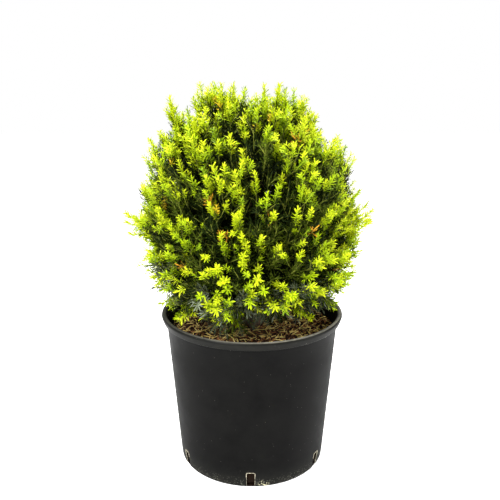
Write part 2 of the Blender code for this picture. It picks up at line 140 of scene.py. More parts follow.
floor_mesh = bpy.data.meshes.new("floor")
half = FLOOR_SIZE / 2
floor_mesh.from_pydata(
    [(-half, -half, 0.0), (half, -half, 0.0), (half, half, 0.0), (-half, half, 0.0)],
    [],
    [(0, 1, 2, 3)],
)
floor = bpy.data.objects.new("floor", floor_mesh)
scene.collection.objects.link(floor)
floor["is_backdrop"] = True

# %% [markdown]
# ## Building with nodes
#
# Most of the plant is one small thing repeated along a path or over a surface: needles on a
# shoot, strips of bark on a limb, chips on the potting mix. Geometry Nodes suit that, because
# one rule places every copy. A few helpers keep the trees short. The first ones make a tree
# with named inputs, add a node and wire it, and write the sums that come back in many trees.

# %% Helpers for node trees
SOCKETS = {
    "geometry": "NodeSocketGeometry",
    "float": "NodeSocketFloat",
    "int": "NodeSocketInt",
    "colour": "NodeSocketColor",
    "vector": "NodeSocketVector",
    "object": "NodeSocketObject",
    "material": "NodeSocketMaterial",
}


def new_tree(name, kind, inputs, outputs):
    """An empty node tree; inputs are (name, kind of socket, default) and outputs (name, kind)."""
    tree = bpy.data.node_groups.new(name, kind)
    for label, socket, default in inputs:
        made = tree.interface.new_socket(label, in_out="INPUT", socket_type=SOCKETS[socket])
        if default is not None:
            made.default_value = default
    for label, socket in outputs:
        tree.interface.new_socket(label, in_out="OUTPUT", socket_type=SOCKETS[socket])
    return tree, tree.nodes.new("NodeGroupInput"), tree.nodes.new("NodeGroupOutput")


def wire(tree, value, socket):
    """Links value to the socket if it is an output socket, and otherwise sets it."""
    if isinstance(value, bpy.types.NodeSocket):
        tree.links.new(value, socket)
    else:
        socket.default_value = value


def add(tree, kind, inputs=(), **settings):
    """Adds a node, sets it up, and wires its inputs, which are (name or number, value)."""
    node = tree.nodes.new(kind)
    for key, value in settings.items():
        setattr(node, key, value)
    for socket, value in inputs:
        wire(tree, value, node.inputs[socket])
    return node


def maths(tree, operation, *values):
    """The result of one step of arithmetic."""
    node = add(tree, "ShaderNodeMath", enumerate(values), operation=operation)
    return node.outputs[0]


def times(tree, product, *others):
    """All the values multiplied."""
    for value in others:
        product = maths(tree, "MULTIPLY", product, value)
    return product


def ramp(tree, value, low=0.0, high=1.0, start=0.0, end=1.0):
    """Start where the value is low, end where it is high, and an even change between."""
    limits = [("From Min", low), ("From Max", high), ("To Min", start), ("To Max", end)]
    return add(tree, "ShaderNodeMapRange", [("Value", value), *limits]).outputs[0]


def vector(tree, x=0.0, y=0.0, z=0.0):
    return add(tree, "ShaderNodeCombineXYZ", [("X", x), ("Y", y), ("Z", z)]).outputs[0]


def mixed(tree, share, under, over):
    """Two colours mixed, with this share of the second."""
    inputs = [(0, share), (6, under), (7, over)]
    return add(tree, "ShaderNodeMix", inputs, data_type="RGBA").outputs[2]


print("kinds of socket:", ", ".join(SOCKETS))

# %% [markdown]
# Every tree of geometry nodes here starts and ends alike: it takes a material, and at its end
# it makes the copies real and gives them that material. Between, most trees read chains of
# points as curves, sweep a section along them or set copies on them.


# %% Helpers for trees of geometry nodes
def geometry_tree(name, inputs):
    """A tree of geometry nodes that also takes a material."""
    inputs = [*inputs, ("Material", "material", None)]
    return new_tree(name, "GeometryNodeTree", inputs, [("Geometry", "geometry")])


def finish_tree(tree, given, geometry, result):
    """Makes the copies real and gives them the tree's material."""
    real = add(tree, "GeometryNodeRealizeInstances", [(0, geometry)]).outputs[0]
    inputs = [("Geometry", real), ("Material", given.outputs["Material"])]
    wire(tree, add(tree, "GeometryNodeSetMaterial", inputs).outputs[0], result.inputs[0])
    return tree


def named(tree, name):
    """The value that each point keeps under a name."""
    return add(tree, "GeometryNodeInputNamedAttribute", [("Name", name)]).outputs[0]


def lines(tree, chains, step=None):
    """Chains of points as curves, walked in even steps if a step is given."""
    curves = add(tree, "GeometryNodeMeshToCurve", [("Mesh", chains)]).outputs[0]
    if step is None:
        return curves
    inputs = [(0, curves), ("Length", step)]
    return add(tree, "GeometryNodeResampleCurve", inputs, mode="LENGTH").outputs[0]


def thick(tree, curves):
    """Curves with the thickness that their points keep."""
    inputs = [(0, curves), ("Radius", named(tree, "thickness"))]
    return add(tree, "GeometryNodeSetCurveRadius", inputs).outputs[0]


def circle(tree, sides, radius=1.0):
    inputs = [("Resolution", sides), ("Radius", radius)]
    return add(tree, "GeometryNodeCurvePrimitiveCircle", inputs).outputs[0]


def swept(tree, curves, section, follow=True):
    """A closed skin: the section carried along the curves, which can follow their radius."""
    inputs = [("Curve", curves), ("Profile Curve", section), ("Fill Caps", True)]
    skin = add(tree, "GeometryNodeCurveToMesh", inputs)
    if follow and "Scale" in skin.inputs:  # it doesn't follow the radius by itself
        wire(tree, tree.nodes.new("GeometryNodeInputRadius").outputs[0], skin.inputs["Scale"])
    return skin.outputs[0]


def copies(tree, points, piece, turn, *more):
    """Copies of a piece on the points, each with its turn."""
    inputs = [("Points", points), ("Instance", piece), ("Rotation", turn), *more]
    return add(tree, "GeometryNodeInstanceOnPoints", inputs).outputs[0]


def random_value(tree, low, high, seed, offset):
    """A random number for every point; the offset keeps one draw apart from another."""
    own_seed = maths(tree, "ADD", seed, float(offset))
    inputs = [(2, low), (3, high), ("Seed", own_seed)]
    return add(tree, "FunctionNodeRandomValue", inputs, data_type="FLOAT").outputs[1]


print("made ready on", bpy.app.version_string)

# %% [markdown]
# The last helpers handle finished pieces. A saved model can't hold instances or modifiers, so
# a tree is run once on a starting mesh and its result is kept as a plain mesh. Each finished
# piece is fixed to the plant and names the plain nodes that it stands for.


# %% Helpers for pieces
def plain_object(name, mesh):
    made = bpy.data.objects.new(name, mesh)
    scene.collection.objects.link(made)
    return made


def as_mesh(shape, name):
    """The edited shape as a mesh; the shape itself is let go."""
    mesh = bpy.data.meshes.new(name)
    shape.to_mesh(mesh)
    shape.free()
    return mesh


def chain_mesh(name, chains):
    """A mesh of separate chains of points, which nodes read as curves. A chain is a list of
    (place, thickness, needle size)."""
    places, links, thickness, sizes = [], [], [], []
    for chain in chains:
        links += [(len(places) + i, len(places) + i + 1) for i in range(len(chain) - 1)]
        places += [tuple(place) for place, _, _ in chain]
        thickness += [radius for _, radius, _ in chain]
        sizes += [size for _, _, size in chain]
    mesh = bpy.data.meshes.new(name)
    mesh.from_pydata(places, links, [])
    for label, values in (("thickness", thickness), ("needle_size", sizes)):
        mesh.attributes.new(label, "FLOAT", "POINT").data.foreach_set("value", values)
    return mesh


def apply_modifiers(thing):
    """Puts the object's modifiers into its mesh."""
    graph = bpy.context.evaluated_depsgraph_get()
    mesh = bpy.data.meshes.new_from_object(thing.evaluated_get(graph))
    thing.modifiers.clear()
    thing.data = mesh
    mesh.materials.clear()
    mesh.name = thing.name
    return thing


def run_tree(name, start, tree, values):
    """Runs a tree of geometry nodes on the start object, which it uses up, and gives back
    the result as a plain mesh object."""
    modifier = start.modifiers.new("grow", "NODES")
    modifier.node_group = tree
    for item in tree.interface.items_tree:
        if item.in_out == "INPUT" and item.name in values:
            modifier[item.identifier] = values[item.name]
    graph = bpy.context.evaluated_depsgraph_get()
    mesh = bpy.data.meshes.new_from_object(start.evaluated_get(graph))
    start.modifiers.clear()
    bpy.data.objects.remove(start)
    mesh.name = name
    finish = [material for material in mesh.materials if material]
    mesh.materials.clear()
    for material in finish:
        mesh.materials.append(material)
    mesh.polygons.foreach_set("material_index", [0] * len(mesh.polygons))
    for attribute in [a.name for a in mesh.attributes if not a.is_required]:
        if attribute not in ("sharp_face", "sharp_edge", "material_index"):
            mesh.attributes.remove(mesh.attributes[attribute])
    return plain_object(name, mesh)


def triangles(thing):
    thing.data.calc_loop_triangles()
    return len(thing.data.loop_triangles)


def keep(piece, slot, *nodes):
    """Fixes a finished piece to the plant, in the place of the plain nodes it stands for."""
    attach(piece, "root")
    if nodes:
        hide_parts(*nodes)
    print(f"{piece.name}: {triangles(piece):,} triangles")


print("plain model:", len(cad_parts), "nodes to stand for")

# %% [markdown]
# ## Finishes
#
# No surface on the plant has one flat colour. Plastic carries dust and a dull bloom, bark
# has darker furrows, and needles differ a little from spray to spray. Each effect that more
# than one material needs is a node group that is built once. *Mottle* blends two colours in
# soft patches and gives a matching value for roughness. *Specks* gives a mask of small
# scattered dots, for dust and scuffs. A third, which paints shade on one side of the potting
# mix, comes with the mix. The shader itself stays in each material, with its constant values
# on its own sockets.


# %% Mottle and specks, two shared effects
def own_place(tree):
    """Where each point of a surface is, in its piece's own space."""
    return tree.nodes.new("ShaderNodeTexCoord").outputs["Object"]


def mottle_group():
    """Blends two colours in soft patches, with a roughness to match."""
    tree, given, result = new_tree(
        "mottle",
        "ShaderNodeTree",
        [
            ("Dark", "colour", (0.0, 0.0, 0.0, 1.0)),
            ("Light", "colour", WHITE),
            ("Patch size", "float", 0.01),
            ("Stretch", "vector", (1.0, 1.0, 1.0)),
            ("Smoothest", "float", 0.4),
            ("Roughest", "float", 0.6),
        ],
        [("Colour", "colour"), ("Roughness", "float")],
    )
    ends = [(0, own_place(tree)), (1, given.outputs["Stretch"])]
    stretched = add(tree, "ShaderNodeVectorMath", ends, operation="MULTIPLY").outputs[0]
    scale = maths(tree, "DIVIDE", 1.0, given.outputs["Patch size"])
    pattern = [("Vector", stretched), ("Scale", scale), ("Detail", 4.0), ("Roughness", 0.6)]
    patches = add(tree, "ShaderNodeTexNoise", pattern).outputs["Fac"]
    amount = ramp(tree, patches, 0.3, 0.7)
    colour = mixed(tree, amount, given.outputs["Dark"], given.outputs["Light"])
    smoothest, roughest = given.outputs["Smoothest"], given.outputs["Roughest"]
    wire(tree, colour, result.inputs["Colour"])
    wire(tree, ramp(tree, amount, start=smoothest, end=roughest), result.inputs["Roughness"])
    return tree


def specks_group():
    """A mask of dots; only the given share of the cells holds one."""
    tree, given, result = new_tree(
        "specks",
        "ShaderNodeTree",
        [("Spacing", "float", 0.01), ("Speck size", "float", 0.1), ("Share", "float", 0.5)],
        [("Mask", "float")],
    )
    scale = maths(tree, "DIVIDE", 1.0, given.outputs["Spacing"])
    cells = add(tree, "ShaderNodeTexVoronoi", [("Vector", own_place(tree)), ("Scale", scale)])
    near = maths(tree, "LESS_THAN", cells.outputs["Distance"], given.outputs["Speck size"])
    chosen = add(tree, "ShaderNodeSeparateColor", [("Color", cells.outputs["Color"])]).outputs[0]
    kept = maths(tree, "LESS_THAN", chosen, given.outputs["Share"])
    wire(tree, times(tree, near, kept), result.inputs["Mask"])
    return tree


MOTTLE = mottle_group()
SPECKS = specks_group()
print("shared effects:", MOTTLE.name, "and", SPECKS.name)


# %% A material from mottled colours
def new_material(name, specular=0.5):
    """A material and its shader, with nothing wired to it yet."""
    made = bpy.data.materials.new(name)
    made.use_nodes = True
    shader = made.node_tree.nodes["Principled BSDF"]
    shader.inputs["Specular IOR Level"].default_value = specular
    return made, made.node_tree, shader


def mottled(tree, shader, dark, light, patch, rough, stretch=(1.0, 1.0, 1.0)):
    """Wires a mottle group to the shader's colour and roughness, and gives its colour."""
    inputs = [
        ("Dark", (*dark, 1.0)),
        ("Light", (*light, 1.0)),
        ("Patch size", patch),
        ("Stretch", stretch),
        ("Smoothest", rough[0]),
        ("Roughest", rough[1]),
    ]
    group = add(tree, "ShaderNodeGroup", inputs, node_tree=MOTTLE)
    wire(tree, group.outputs["Colour"], shader.inputs["Base Color"])
    wire(tree, group.outputs["Roughness"], shader.inputs["Roughness"])
    return group.outputs["Colour"]


def scattered(tree, spacing, size, share):
    """A mask of specks."""
    inputs = [("Spacing", spacing), ("Speck size", size), ("Share", share)]
    return add(tree, "ShaderNodeGroup", inputs, node_tree=SPECKS).outputs["Mask"]


def blend(tree, mask, share, under, tone):
    """Lays a tone over a colour where the mask says."""
    return mixed(tree, times(tree, mask, share), under, (*tone, 1.0))


def bumpy(tree, shader, height, depth):
    """Raises the surface by depth times the height value."""
    bump = add(tree, "ShaderNodeBump", [("Height", height), ("Distance", depth)])
    wire(tree, bump.outputs["Normal"], shader.inputs["Normal"])


def fine_noise(tree, size, stretch=(1.0, 1.0, 1.0), detail=3.0):
    """A value that varies over this many metres."""
    inputs = [("Vector", own_place(tree)), ("Scale", stretch)]
    spread = add(tree, "ShaderNodeMapping", inputs).outputs[0]
    pattern = [("Vector", spread), ("Scale", 1.0 / size), ("Detail", detail)]
    return add(tree, "ShaderNodeTexNoise", pattern).outputs["Fac"]


floor_finish, _, floor_shader = new_material("matt_white_floor", 0.1)
floor_shader.inputs["Base Color"].default_value = FLOOR_TONE
floor_shader.inputs["Roughness"].default_value = 0.9
floor_shader.inputs["Emission Color"].default_value = WHITE
floor_shader.inputs["Emission Strength"].default_value = FLOOR_GLOW
floor_mesh.materials.append(floor_finish)
print("floor:", floor_finish.name)


# %% [markdown]
# ## The pot
#
# A nursery pot is injection moulded from thin recycled plastic. Its wall tapers so that
# empty pots nest, and its rolled lip stiffens the mouth. It could be lofted from rings, but
# it is round throughout, so its section is drawn once and turned about the upright axis.
# The section follows the plain model's sizes with rounder arcs.
#
# Six drainage slots are cut through the foot of the wall with rounded cutters.

# %% The pot's sizes and section
POT_HEIGHT = 0.241
BASE_RADIUS = 0.114
SHOULDER_RADIUS = 0.1325
RIM_RADIUS = 0.140
RIM_DEPTH = 0.0125
RIM_FOOT = POT_HEIGHT - RIM_DEPTH
ROLL_RADIUS = 0.004
BEAD_RADIUS = 0.0024
BEAD_BACK = 0.0005  # the bead stays this far inside the roll
UNDER_BEAD = ((0.0006, -0.0002), (0.0, -0.001))  # out from the shoulder, up from the rim's foot
WALL = 0.002
FLOOR = 0.0024
# where the floor turns up into the wall: height on the wall, in from it, up from the floor
FLOOR_CORNER = ((FLOOR, 0.003, 0.0), (0.006, 0.0, 0.004))
FLAT_RADIUS = 0.06
FOOT_ROUNDING = 0.003
INSIDE_HEIGHTS = (0.05, 0.10, 0.15, 0.20)
OUTSIDE_HEIGHTS = (0.19, 0.15, 0.11, 0.07, 0.03, 0.012)
TURN_STEPS = 192
MERGE_DISTANCE = 0.00001


def arc(centre, radius, start, end, count):
    """Points of the section on an arc, its angles in degrees from straight out."""
    angles = [math.radians(start + (end - start) * i / (count - 1)) for i in range(count)]
    radial, height = centre
    return [(radial + radius * math.cos(a), height + radius * math.sin(a)) for a in angles]


def wall_radius(height):
    """Outside of the wall at this height."""
    return BASE_RADIUS + (SHOULDER_RADIUS - BASE_RADIUS) * (height / RIM_FOOT)


def pot_section():
    """From the middle of the floor up the inside, over the rim and down the outside."""
    roll = (RIM_RADIUS - ROLL_RADIUS, POT_HEIGHT - ROLL_RADIUS)
    bead = (RIM_RADIUS - ROLL_RADIUS - BEAD_BACK, RIM_FOOT + BEAD_RADIUS)
    foot = (BASE_RADIUS - FOOT_ROUNDING, FOOT_ROUNDING)
    points = [(0.0, FLOOR), (FLAT_RADIUS, FLOOR)]
    for height, inwards, up in FLOOR_CORNER:
        points.append((wall_radius(height) - WALL - inwards, FLOOR + up))
    points += [(wall_radius(height) - WALL, height) for height in INSIDE_HEIGHTS]
    points += [(SHOULDER_RADIUS - WALL, RIM_FOOT)]
    points += arc(roll, ROLL_RADIUS, 180.0, -8.0, 18)
    points += arc(bead, BEAD_RADIUS, 2.0, -90.0, 8)
    points += [(SHOULDER_RADIUS + out, RIM_FOOT + up) for out, up in UNDER_BEAD]
    points += [(wall_radius(height), height) for height in OUTSIDE_HEIGHTS]
    points += arc(foot, FOOT_ROUNDING, 0.0, -90.0, 7)
    return points + [(FLAT_RADIUS, 0.0), (0.0, 0.0)]


def turned(name, section):
    """A closed shape turned about Z from (radius, height) points."""
    mesh = bpy.data.meshes.new(name)
    points = [(radius, 0.0, height) for radius, height in section]
    mesh.from_pydata(points, [(i, i + 1) for i in range(len(points) - 1)], [])
    made = plain_object(name, mesh)
    screw = made.modifiers.new("turn", "SCREW")
    screw.steps = screw.render_steps = TURN_STEPS
    screw.use_merge_vertices = True
    screw.merge_threshold = MERGE_DISTANCE
    return apply_modifiers(made)


pot = turned("pot_shell", pot_section())
print("turned pot:", triangles(pot), "triangles")

# %% Drainage slots
SLOT_COUNT = 6
SLOT_WIDTH = 0.013
SLOT_HEIGHT = 0.025
SLOT_REACH = 0.014
SLOT_TURN = math.radians(-91.0)
SLOT_CORNER = 0.0022
SLOT_CORNER_STEPS = 4
SHARP_ANGLE = math.radians(38.0)


def slot_turn(number):
    """Turns what lies on +X round to this slot."""
    return Matrix.Rotation(SLOT_TURN + math.tau * number / SLOT_COUNT, 4, "Z")


def slot_bar():
    """A bar with rounded long edges, which cuts a slot where the wall crosses +X."""
    bar = bmesh.new()
    size = Matrix.Diagonal((2 * SLOT_REACH, SLOT_WIDTH, 2 * SLOT_HEIGHT, 1.0))
    bmesh.ops.create_cube(bar, size=1.0, matrix=Matrix.Translation((BASE_RADIUS, 0, 0)) @ size)
    radial = []
    for edge in bar.edges:
        if abs(edge.verts[0].co.x - edge.verts[1].co.x) > SLOT_REACH:
            radial.append(edge)
    steps = SLOT_CORNER_STEPS
    bmesh.ops.bevel(bar, geom=radial, offset=SLOT_CORNER, segments=steps, affect="EDGES")
    return bar


def slot_cutter():
    """One rounded bar for each slot, all in one object."""
    bars = bmesh.new()
    for number in range(SLOT_COUNT):
        bar = slot_bar()
        bar.transform(slot_turn(number))
        part = as_mesh(bar, "bar")
        bars.from_mesh(part)
        bpy.data.meshes.remove(part)
    return plain_object("slot_cutter", as_mesh(bars, "slot_cutter"))


cutter = slot_cutter()
cut = pot.modifiers.new("slots", "BOOLEAN")
cut.operation = "DIFFERENCE"
cut.object = cutter
apply_modifiers(pot)
bpy.data.objects.remove(cutter)
pot.data.shade_smooth()
pot.data.set_sharp_from_angle(angle=SHARP_ANGLE)
print("pot with slots:", triangles(pot), "triangles")

# %% [markdown]
# The plastic is black but never clean: it has a dull bloom, pale dust in specks, scuffs, and
# a brown splash of soil round its foot where pots stand on wet beds. The bloom and the splash
# are mottles, the splash kept low by the height, and the dust is a mask of specks. A pale band
# along the top edge of the rim is a painted highlight, stronger on the right. A fine grain
# breaks up the reflections as moulded recycled plastic does. Each mark is a mask with a
# strength and a tone, and they are laid over the bloom one after another.

# %% Black plastic
SPLASH_PLACE = (0.017, -0.112, 0.003)
SPLASH_RADII = (0.010, 0.003)
SOIL_HEIGHTS = (0.034, 0.002)  # soil fades out upwards between these heights
DUST_HEIGHTS = (0.018, 0.001)
LIP_HEIGHTS = (RIM_FOOT - 0.0004, RIM_FOOT + 0.0004)
NICK_HEIGHTS = (RIM_FOOT + 0.0028, RIM_FOOT + 0.0010)
TOP_HIGHLIGHT_HEIGHTS = (POT_HEIGHT - 0.0012, POT_HEIGHT - 0.0004)
HIGHLIGHT_SIDE = (-0.16, 0.04)  # a painted highlight along the top edge, stronger on the right
BLOOM_TONES = ((0.0024, 0.0024, 0.0023), (0.0056, 0.0056, 0.0052))
COAT_ON_WALL = 0.03
COAT_ON_LIP = 0.20


def plastic_marks(tree):
    """The marks as (mask, strength, tone), and the mask of the lip."""
    place = own_place(tree)
    across, _, height = add(tree, "ShaderNodeSeparateXYZ", [("Vector", place)]).outputs
    away = add(tree, "ShaderNodeVectorMath", [(0, place), (1, SPLASH_PLACE)], operation="DISTANCE")
    near_splash = ramp(tree, away.outputs["Value"], *SPLASH_RADII)
    lip = ramp(tree, height, *LIP_HEIGHTS)
    low = ramp(tree, height, *SOIL_HEIGHTS)
    soil = times(tree, low, fine_noise(tree, 0.010, detail=6.0))
    smudge = times(tree, lip, fine_noise(tree, 0.015, detail=6.0))
    dust_low = times(tree, ramp(tree, height, *DUST_HEIGHTS), fine_noise(tree, 0.012))
    # painted highlight: a pale band along the rim's top edge
    top = times(tree, ramp(tree, height, *TOP_HIGHLIGHT_HEIGHTS), fine_noise(tree, 0.008, detail=6.0))
    nicks = times(tree, ramp(tree, height, *NICK_HEIGHTS), lip, scattered(tree, 0.005, 0.26, 0.20))
    marks = (
        (low, 0.5, (0.0095, 0.0105, 0.0095)),
        (times(tree, soil, soil), 0.6, (0.050, 0.046, 0.036)),
        (times(tree, dust_low, scattered(tree, 0.0022, 0.32, 0.55)), 0.9, (0.26, 0.26, 0.21)),
        (times(tree, near_splash, scattered(tree, 0.0026, 0.42, 0.7)), 0.9, (0.68, 0.64, 0.42)),
        (lip, 0.5, (0.008, 0.0085, 0.0075)),
        (times(tree, smudge, smudge), 0.5, (0.024, 0.022, 0.016)),
        # the painted highlight on the top edge, stronger on the right
        (times(tree, top, ramp(tree, across, *HIGHLIGHT_SIDE)), 0.9, (0.34, 0.32, 0.26)),
        (nicks, 0.6, (0.42, 0.40, 0.34)),
        (scattered(tree, 0.006, 0.085, 0.28), 0.14, (0.30, 0.28, 0.24)),
    )
    return marks, lip


def black_plastic():
    made, tree, shader = new_material("dusty_black_plastic", 0.03)
    colour = mottled(tree, shader, *BLOOM_TONES, 0.035, (0.50, 0.66))
    marks, lip = plastic_marks(tree)
    for mask, strength, tone in marks:
        colour = blend(tree, mask, strength, colour, tone)
    wire(tree, colour, shader.inputs["Base Color"])
    shine = maths(tree, "ADD", times(tree, lip, COAT_ON_LIP), COAT_ON_WALL)
    wire(tree, shine, shader.inputs["Coat Weight"])
    shader.inputs["Coat Roughness"].default_value = 0.30
    shader.inputs["Coat IOR"].default_value = 1.25
    bumpy(tree, shader, fine_noise(tree, 0.0016), 0.00006)
    return made


plastic = black_plastic()
pot.data.materials.append(plastic)
keep(pot, "black_plastic", "pot")


# %% [markdown]
# Where the slots' steel cores met the mould, the plastic has squeezed into a thin raised
# edge. It has worn pale, so it outlines every slot. It is a narrow bead that follows the
# slot's edge on the tapering wall: one outline is drawn as a chain of points, and nodes
# sweep a small circle along it and repeat it at every slot.

# %% Worn edges of the slots
EDGE_RADIUS = 0.00042
EDGE_SUNK = 0.2  # the middle of the bead stands out of the wall by this share of its radius
EDGE_START = 0.0012
EDGE_STEP = 0.0012


def slot_outline():
    """The slot's edge on the outside of the wall: up one side, over the top and down."""
    half_width = SLOT_WIDTH / 2
    flat = half_width - SLOT_CORNER
    outline = [(-half_width, EDGE_START), (-half_width, SLOT_HEIGHT - SLOT_CORNER)]
    for side, start, end in ((-1, 180.0, 90.0), (1, 90.0, 0.0)):
        corner = (side * flat, SLOT_HEIGHT - SLOT_CORNER)
        outline += arc(corner, SLOT_CORNER, start, end, 5)
    outline += [(half_width, EDGE_START)]
    points = []
    for across, height in outline:
        radius = wall_radius(max(height, FOOT_ROUNDING)) + EDGE_RADIUS * EDGE_SUNK
        if height < FOOT_ROUNDING:
            radius -= FOOT_ROUNDING - height
        points.append((math.sqrt(radius**2 - across**2), across, height))
    return points


def repeated_edge_tree():
    """Sweeps a bead along one slot's outline and sets a copy at every slot."""
    tree, given, result = geometry_tree(
        "edge_round_slots",
        [
            ("Outline", "geometry", None),
            ("Thickness", "float", EDGE_RADIUS),
            ("Slots", "int", SLOT_COUNT),
            ("First turn", "float", 0.0),
        ],
    )
    ring = circle(tree, 7, given.outputs["Thickness"])
    bead = swept(tree, lines(tree, given.outputs["Outline"], EDGE_STEP), ring, follow=False)
    middles = add(tree, "GeometryNodePoints", [("Count", given.outputs["Slots"])]).outputs[0]
    index = tree.nodes.new("GeometryNodeInputIndex").outputs[0]
    step = maths(tree, "DIVIDE", math.tau, given.outputs["Slots"])
    angle = maths(tree, "ADD", given.outputs["First turn"], times(tree, index, step))
    beads = copies(tree, middles, bead, vector(tree, z=angle))
    return finish_tree(tree, given, beads, result)


worn, worn_tree, worn_shader = new_material("worn_plastic_edge", 0.3)
mottled(worn_tree, worn_shader, (0.10, 0.08, 0.045), (0.82, 0.76, 0.58), 0.003, (0.5, 0.7))
outline = chain_mesh("outline", [[(point, EDGE_RADIUS, 1.0) for point in slot_outline()]])
edges = run_tree(
    "slot_edges",
    plain_object("outline", outline),
    repeated_edge_tree(),
    {"First turn": SLOT_TURN, "Material": worn},
)
edges.data.shade_smooth()
keep(edges, "black_plastic")

# %% [markdown]
# ## The potting mix
#
# Nursery mix is composted bark with peat and wood fibre. From above it is a rough brown bed
# with golden fibres, darker crumbs and flakes of bark lying every way. A bump map alone would
# look like carpet, so the bed is a real uneven surface, and nodes scatter three kinds of small
# loose piece over it. Each kind has its own tones. A little of the mix has settled into each
# slot, where the bed below its top carries painted shade, nearly black. Painted shade also
# darkens the left side of the bed, an effect that the bed and all its loose pieces share.

# %% The bed of the potting mix
MIX_LEVEL = 0.211
MIX_CROWN = 0.216
MIX_TOP_RADIUS = 0.045
GAP = 0.0003
MIX_EDGE = wall_radius(MIX_LEVEL) - WALL - GAP
MIX_FALL = 1.5  # above 1 the bed falls away more steeply near the wall
MIX_RINGS = 44
MIX_SIDE_HEIGHTS = (0.15, 0.08, 0.03, 0.015, 0.008)
MIX_RELIEF = 0.0022


def mix_height(radius):
    """Height of the bed: level round the trunk, then falling a little to the wall."""
    share = max(0.0, (radius - MIX_TOP_RADIUS) / (MIX_EDGE - MIX_TOP_RADIUS))
    return MIX_CROWN + (MIX_LEVEL - MIX_CROWN) * share**MIX_FALL


def mix_section():
    """Out over the top of the bed, down the inside of the wall and back over the floor."""
    radii = [MIX_EDGE * ring / MIX_RINGS for ring in range(MIX_RINGS + 1)]
    bottom = FLOOR + GAP
    points = [(radius, mix_height(radius)) for radius in radii]
    points += [(wall_radius(height) - WALL - GAP, height) for height in MIX_SIDE_HEIGHTS]
    return points + [(wall_radius(bottom) - WALL - 0.004, bottom), (0.0, bottom)]


def fill_slots(mesh):
    """Adds the mix that has settled into each slot, down to the ground."""
    shape = bmesh.new()
    shape.from_mesh(mesh)
    inner = BASE_RADIUS - SLOT_REACH + GAP
    outer = wall_radius(FLOOR) - WALL
    size = Matrix.Diagonal((outer - inner, SLOT_WIDTH - 2 * GAP, FLOOR, 1.0))
    middle = Matrix.Translation(((inner + outer) / 2, 0.0, FLOOR / 2 + GAP))
    for number in range(SLOT_COUNT):
        bmesh.ops.create_cube(shape, size=1.0, matrix=slot_turn(number) @ middle @ size)
    shape.to_mesh(mesh)
    shape.free()


mix = turned("mix_bed", mix_section())
for vert in mix.data.vertices:
    if vert.co.z > MIX_LEVEL - 0.001:
        bumps = noise.noise(vert.co * 90.0) + 0.6 * noise.noise(vert.co * 260.0)
        vert.co.z += MIX_RELIEF * bumps
fill_slots(mix.data)
mix.data.shade_smooth()
print("bed:", triangles(mix), "triangles")

# %% Loose pieces over the bed
FLAKE = ((-0.5, 0.0), (-0.2, 0.32), (0.28, 0.25), (0.5, -0.05), (0.12, -0.3), (-0.3, -0.22))
FLAKE_THICKNESS = 0.4
FLAKE_UNDERSIDE = 0.9
CLEAR_OF_WALL = 0.005
TOP_OF_BED = MIX_LEVEL - 0.004


def flake_mesh():
    """A thin six-cornered flake one unit long, closed all round."""
    shape = bmesh.new()
    rise, small = FLAKE_THICKNESS / 2, FLAKE_UNDERSIDE
    top = [shape.verts.new((x, y, rise)) for x, y in FLAKE]
    bottom = [shape.verts.new((x * small, y * small, -rise)) for x, y in FLAKE]
    shape.faces.new(top)
    shape.faces.new(bottom[::-1])
    for i in range(len(FLAKE)):
        j = (i + 1) % len(FLAKE)
        shape.faces.new((top[j], top[i], bottom[i], bottom[j]))
    bmesh.ops.triangulate(shape, faces=shape.faces)
    bmesh.ops.recalc_face_normals(shape, faces=shape.faces)
    return as_mesh(shape, "flake")


def bed_top():
    """The open top of the bed, clear of the pot's wall, as a mesh to scatter over."""
    shape = bmesh.new()
    shape.from_mesh(mix.data)
    edge = wall_radius(MIX_LEVEL) - WALL - CLEAR_OF_WALL
    away = []
    for face in shape.faces:
        middle = face.calc_center_median()
        if middle.z < TOP_OF_BED or middle.xy.length > edge:
            away.append(face)
    bmesh.ops.delete(shape, geom=away, context="FACES")
    return as_mesh(shape, "bed_top")


def scatter_tree():
    """Sets pieces on a surface, each with its own turn, tilt, size and lift."""
    tree, given, result = geometry_tree(
        "scatter_on_bed",
        [
            ("Bed", "geometry", None),
            ("Piece", "object", None),
            ("Per square metre", "float", 50000.0),
            ("Shortest", "float", 0.003),
            ("Longest", "float", 0.010),
            ("Width", "float", 0.4),
            ("Lift", "float", 0.001),
            ("Tilt", "float", 0.5),
            ("Seed", "int", 1),
        ],
    )
    seed, tilt = given.outputs["Seed"], given.outputs["Tilt"]
    density = given.outputs["Per square metre"]
    inputs = [("Mesh", given.outputs["Bed"]), ("Density", density), ("Seed", seed)]
    points = add(tree, "GeometryNodeDistributePointsOnFaces", inputs).outputs["Points"]
    back = times(tree, tilt, -1.0)
    pitch, roll = (random_value(tree, back, tilt, seed, offset) for offset in (1, 2))
    spin = random_value(tree, 0.0, math.tau, seed, 3)
    length = random_value(tree, given.outputs["Shortest"], given.outputs["Longest"], seed, 4)
    width = times(tree, length, given.outputs["Width"])
    piece = add(tree, "GeometryNodeObjectInfo", [("Object", given.outputs["Piece"])])
    shape, size = piece.outputs["Geometry"], ("Scale", vector(tree, length, width, width))
    pieces = copies(tree, points, shape, vector(tree, pitch, roll, spin), size)
    lift = vector(tree, z=random_value(tree, 0.0, given.outputs["Lift"], seed, 5))
    inputs = [("Instances", pieces), ("Translation", lift), ("Local Space", False)]
    raised = add(tree, "GeometryNodeTranslateInstances", inputs).outputs[0]
    return finish_tree(tree, given, raised, result)


print(f"loose pieces lie above {TOP_OF_BED * 1000:.0f} mm")

# %% Painted shade, a shared effect of the potting mix
# the painted shade fades in across these places, towards the left
SHADED_SIDE = (-0.010, -0.060)
SHADE_STRENGTH = 0.55


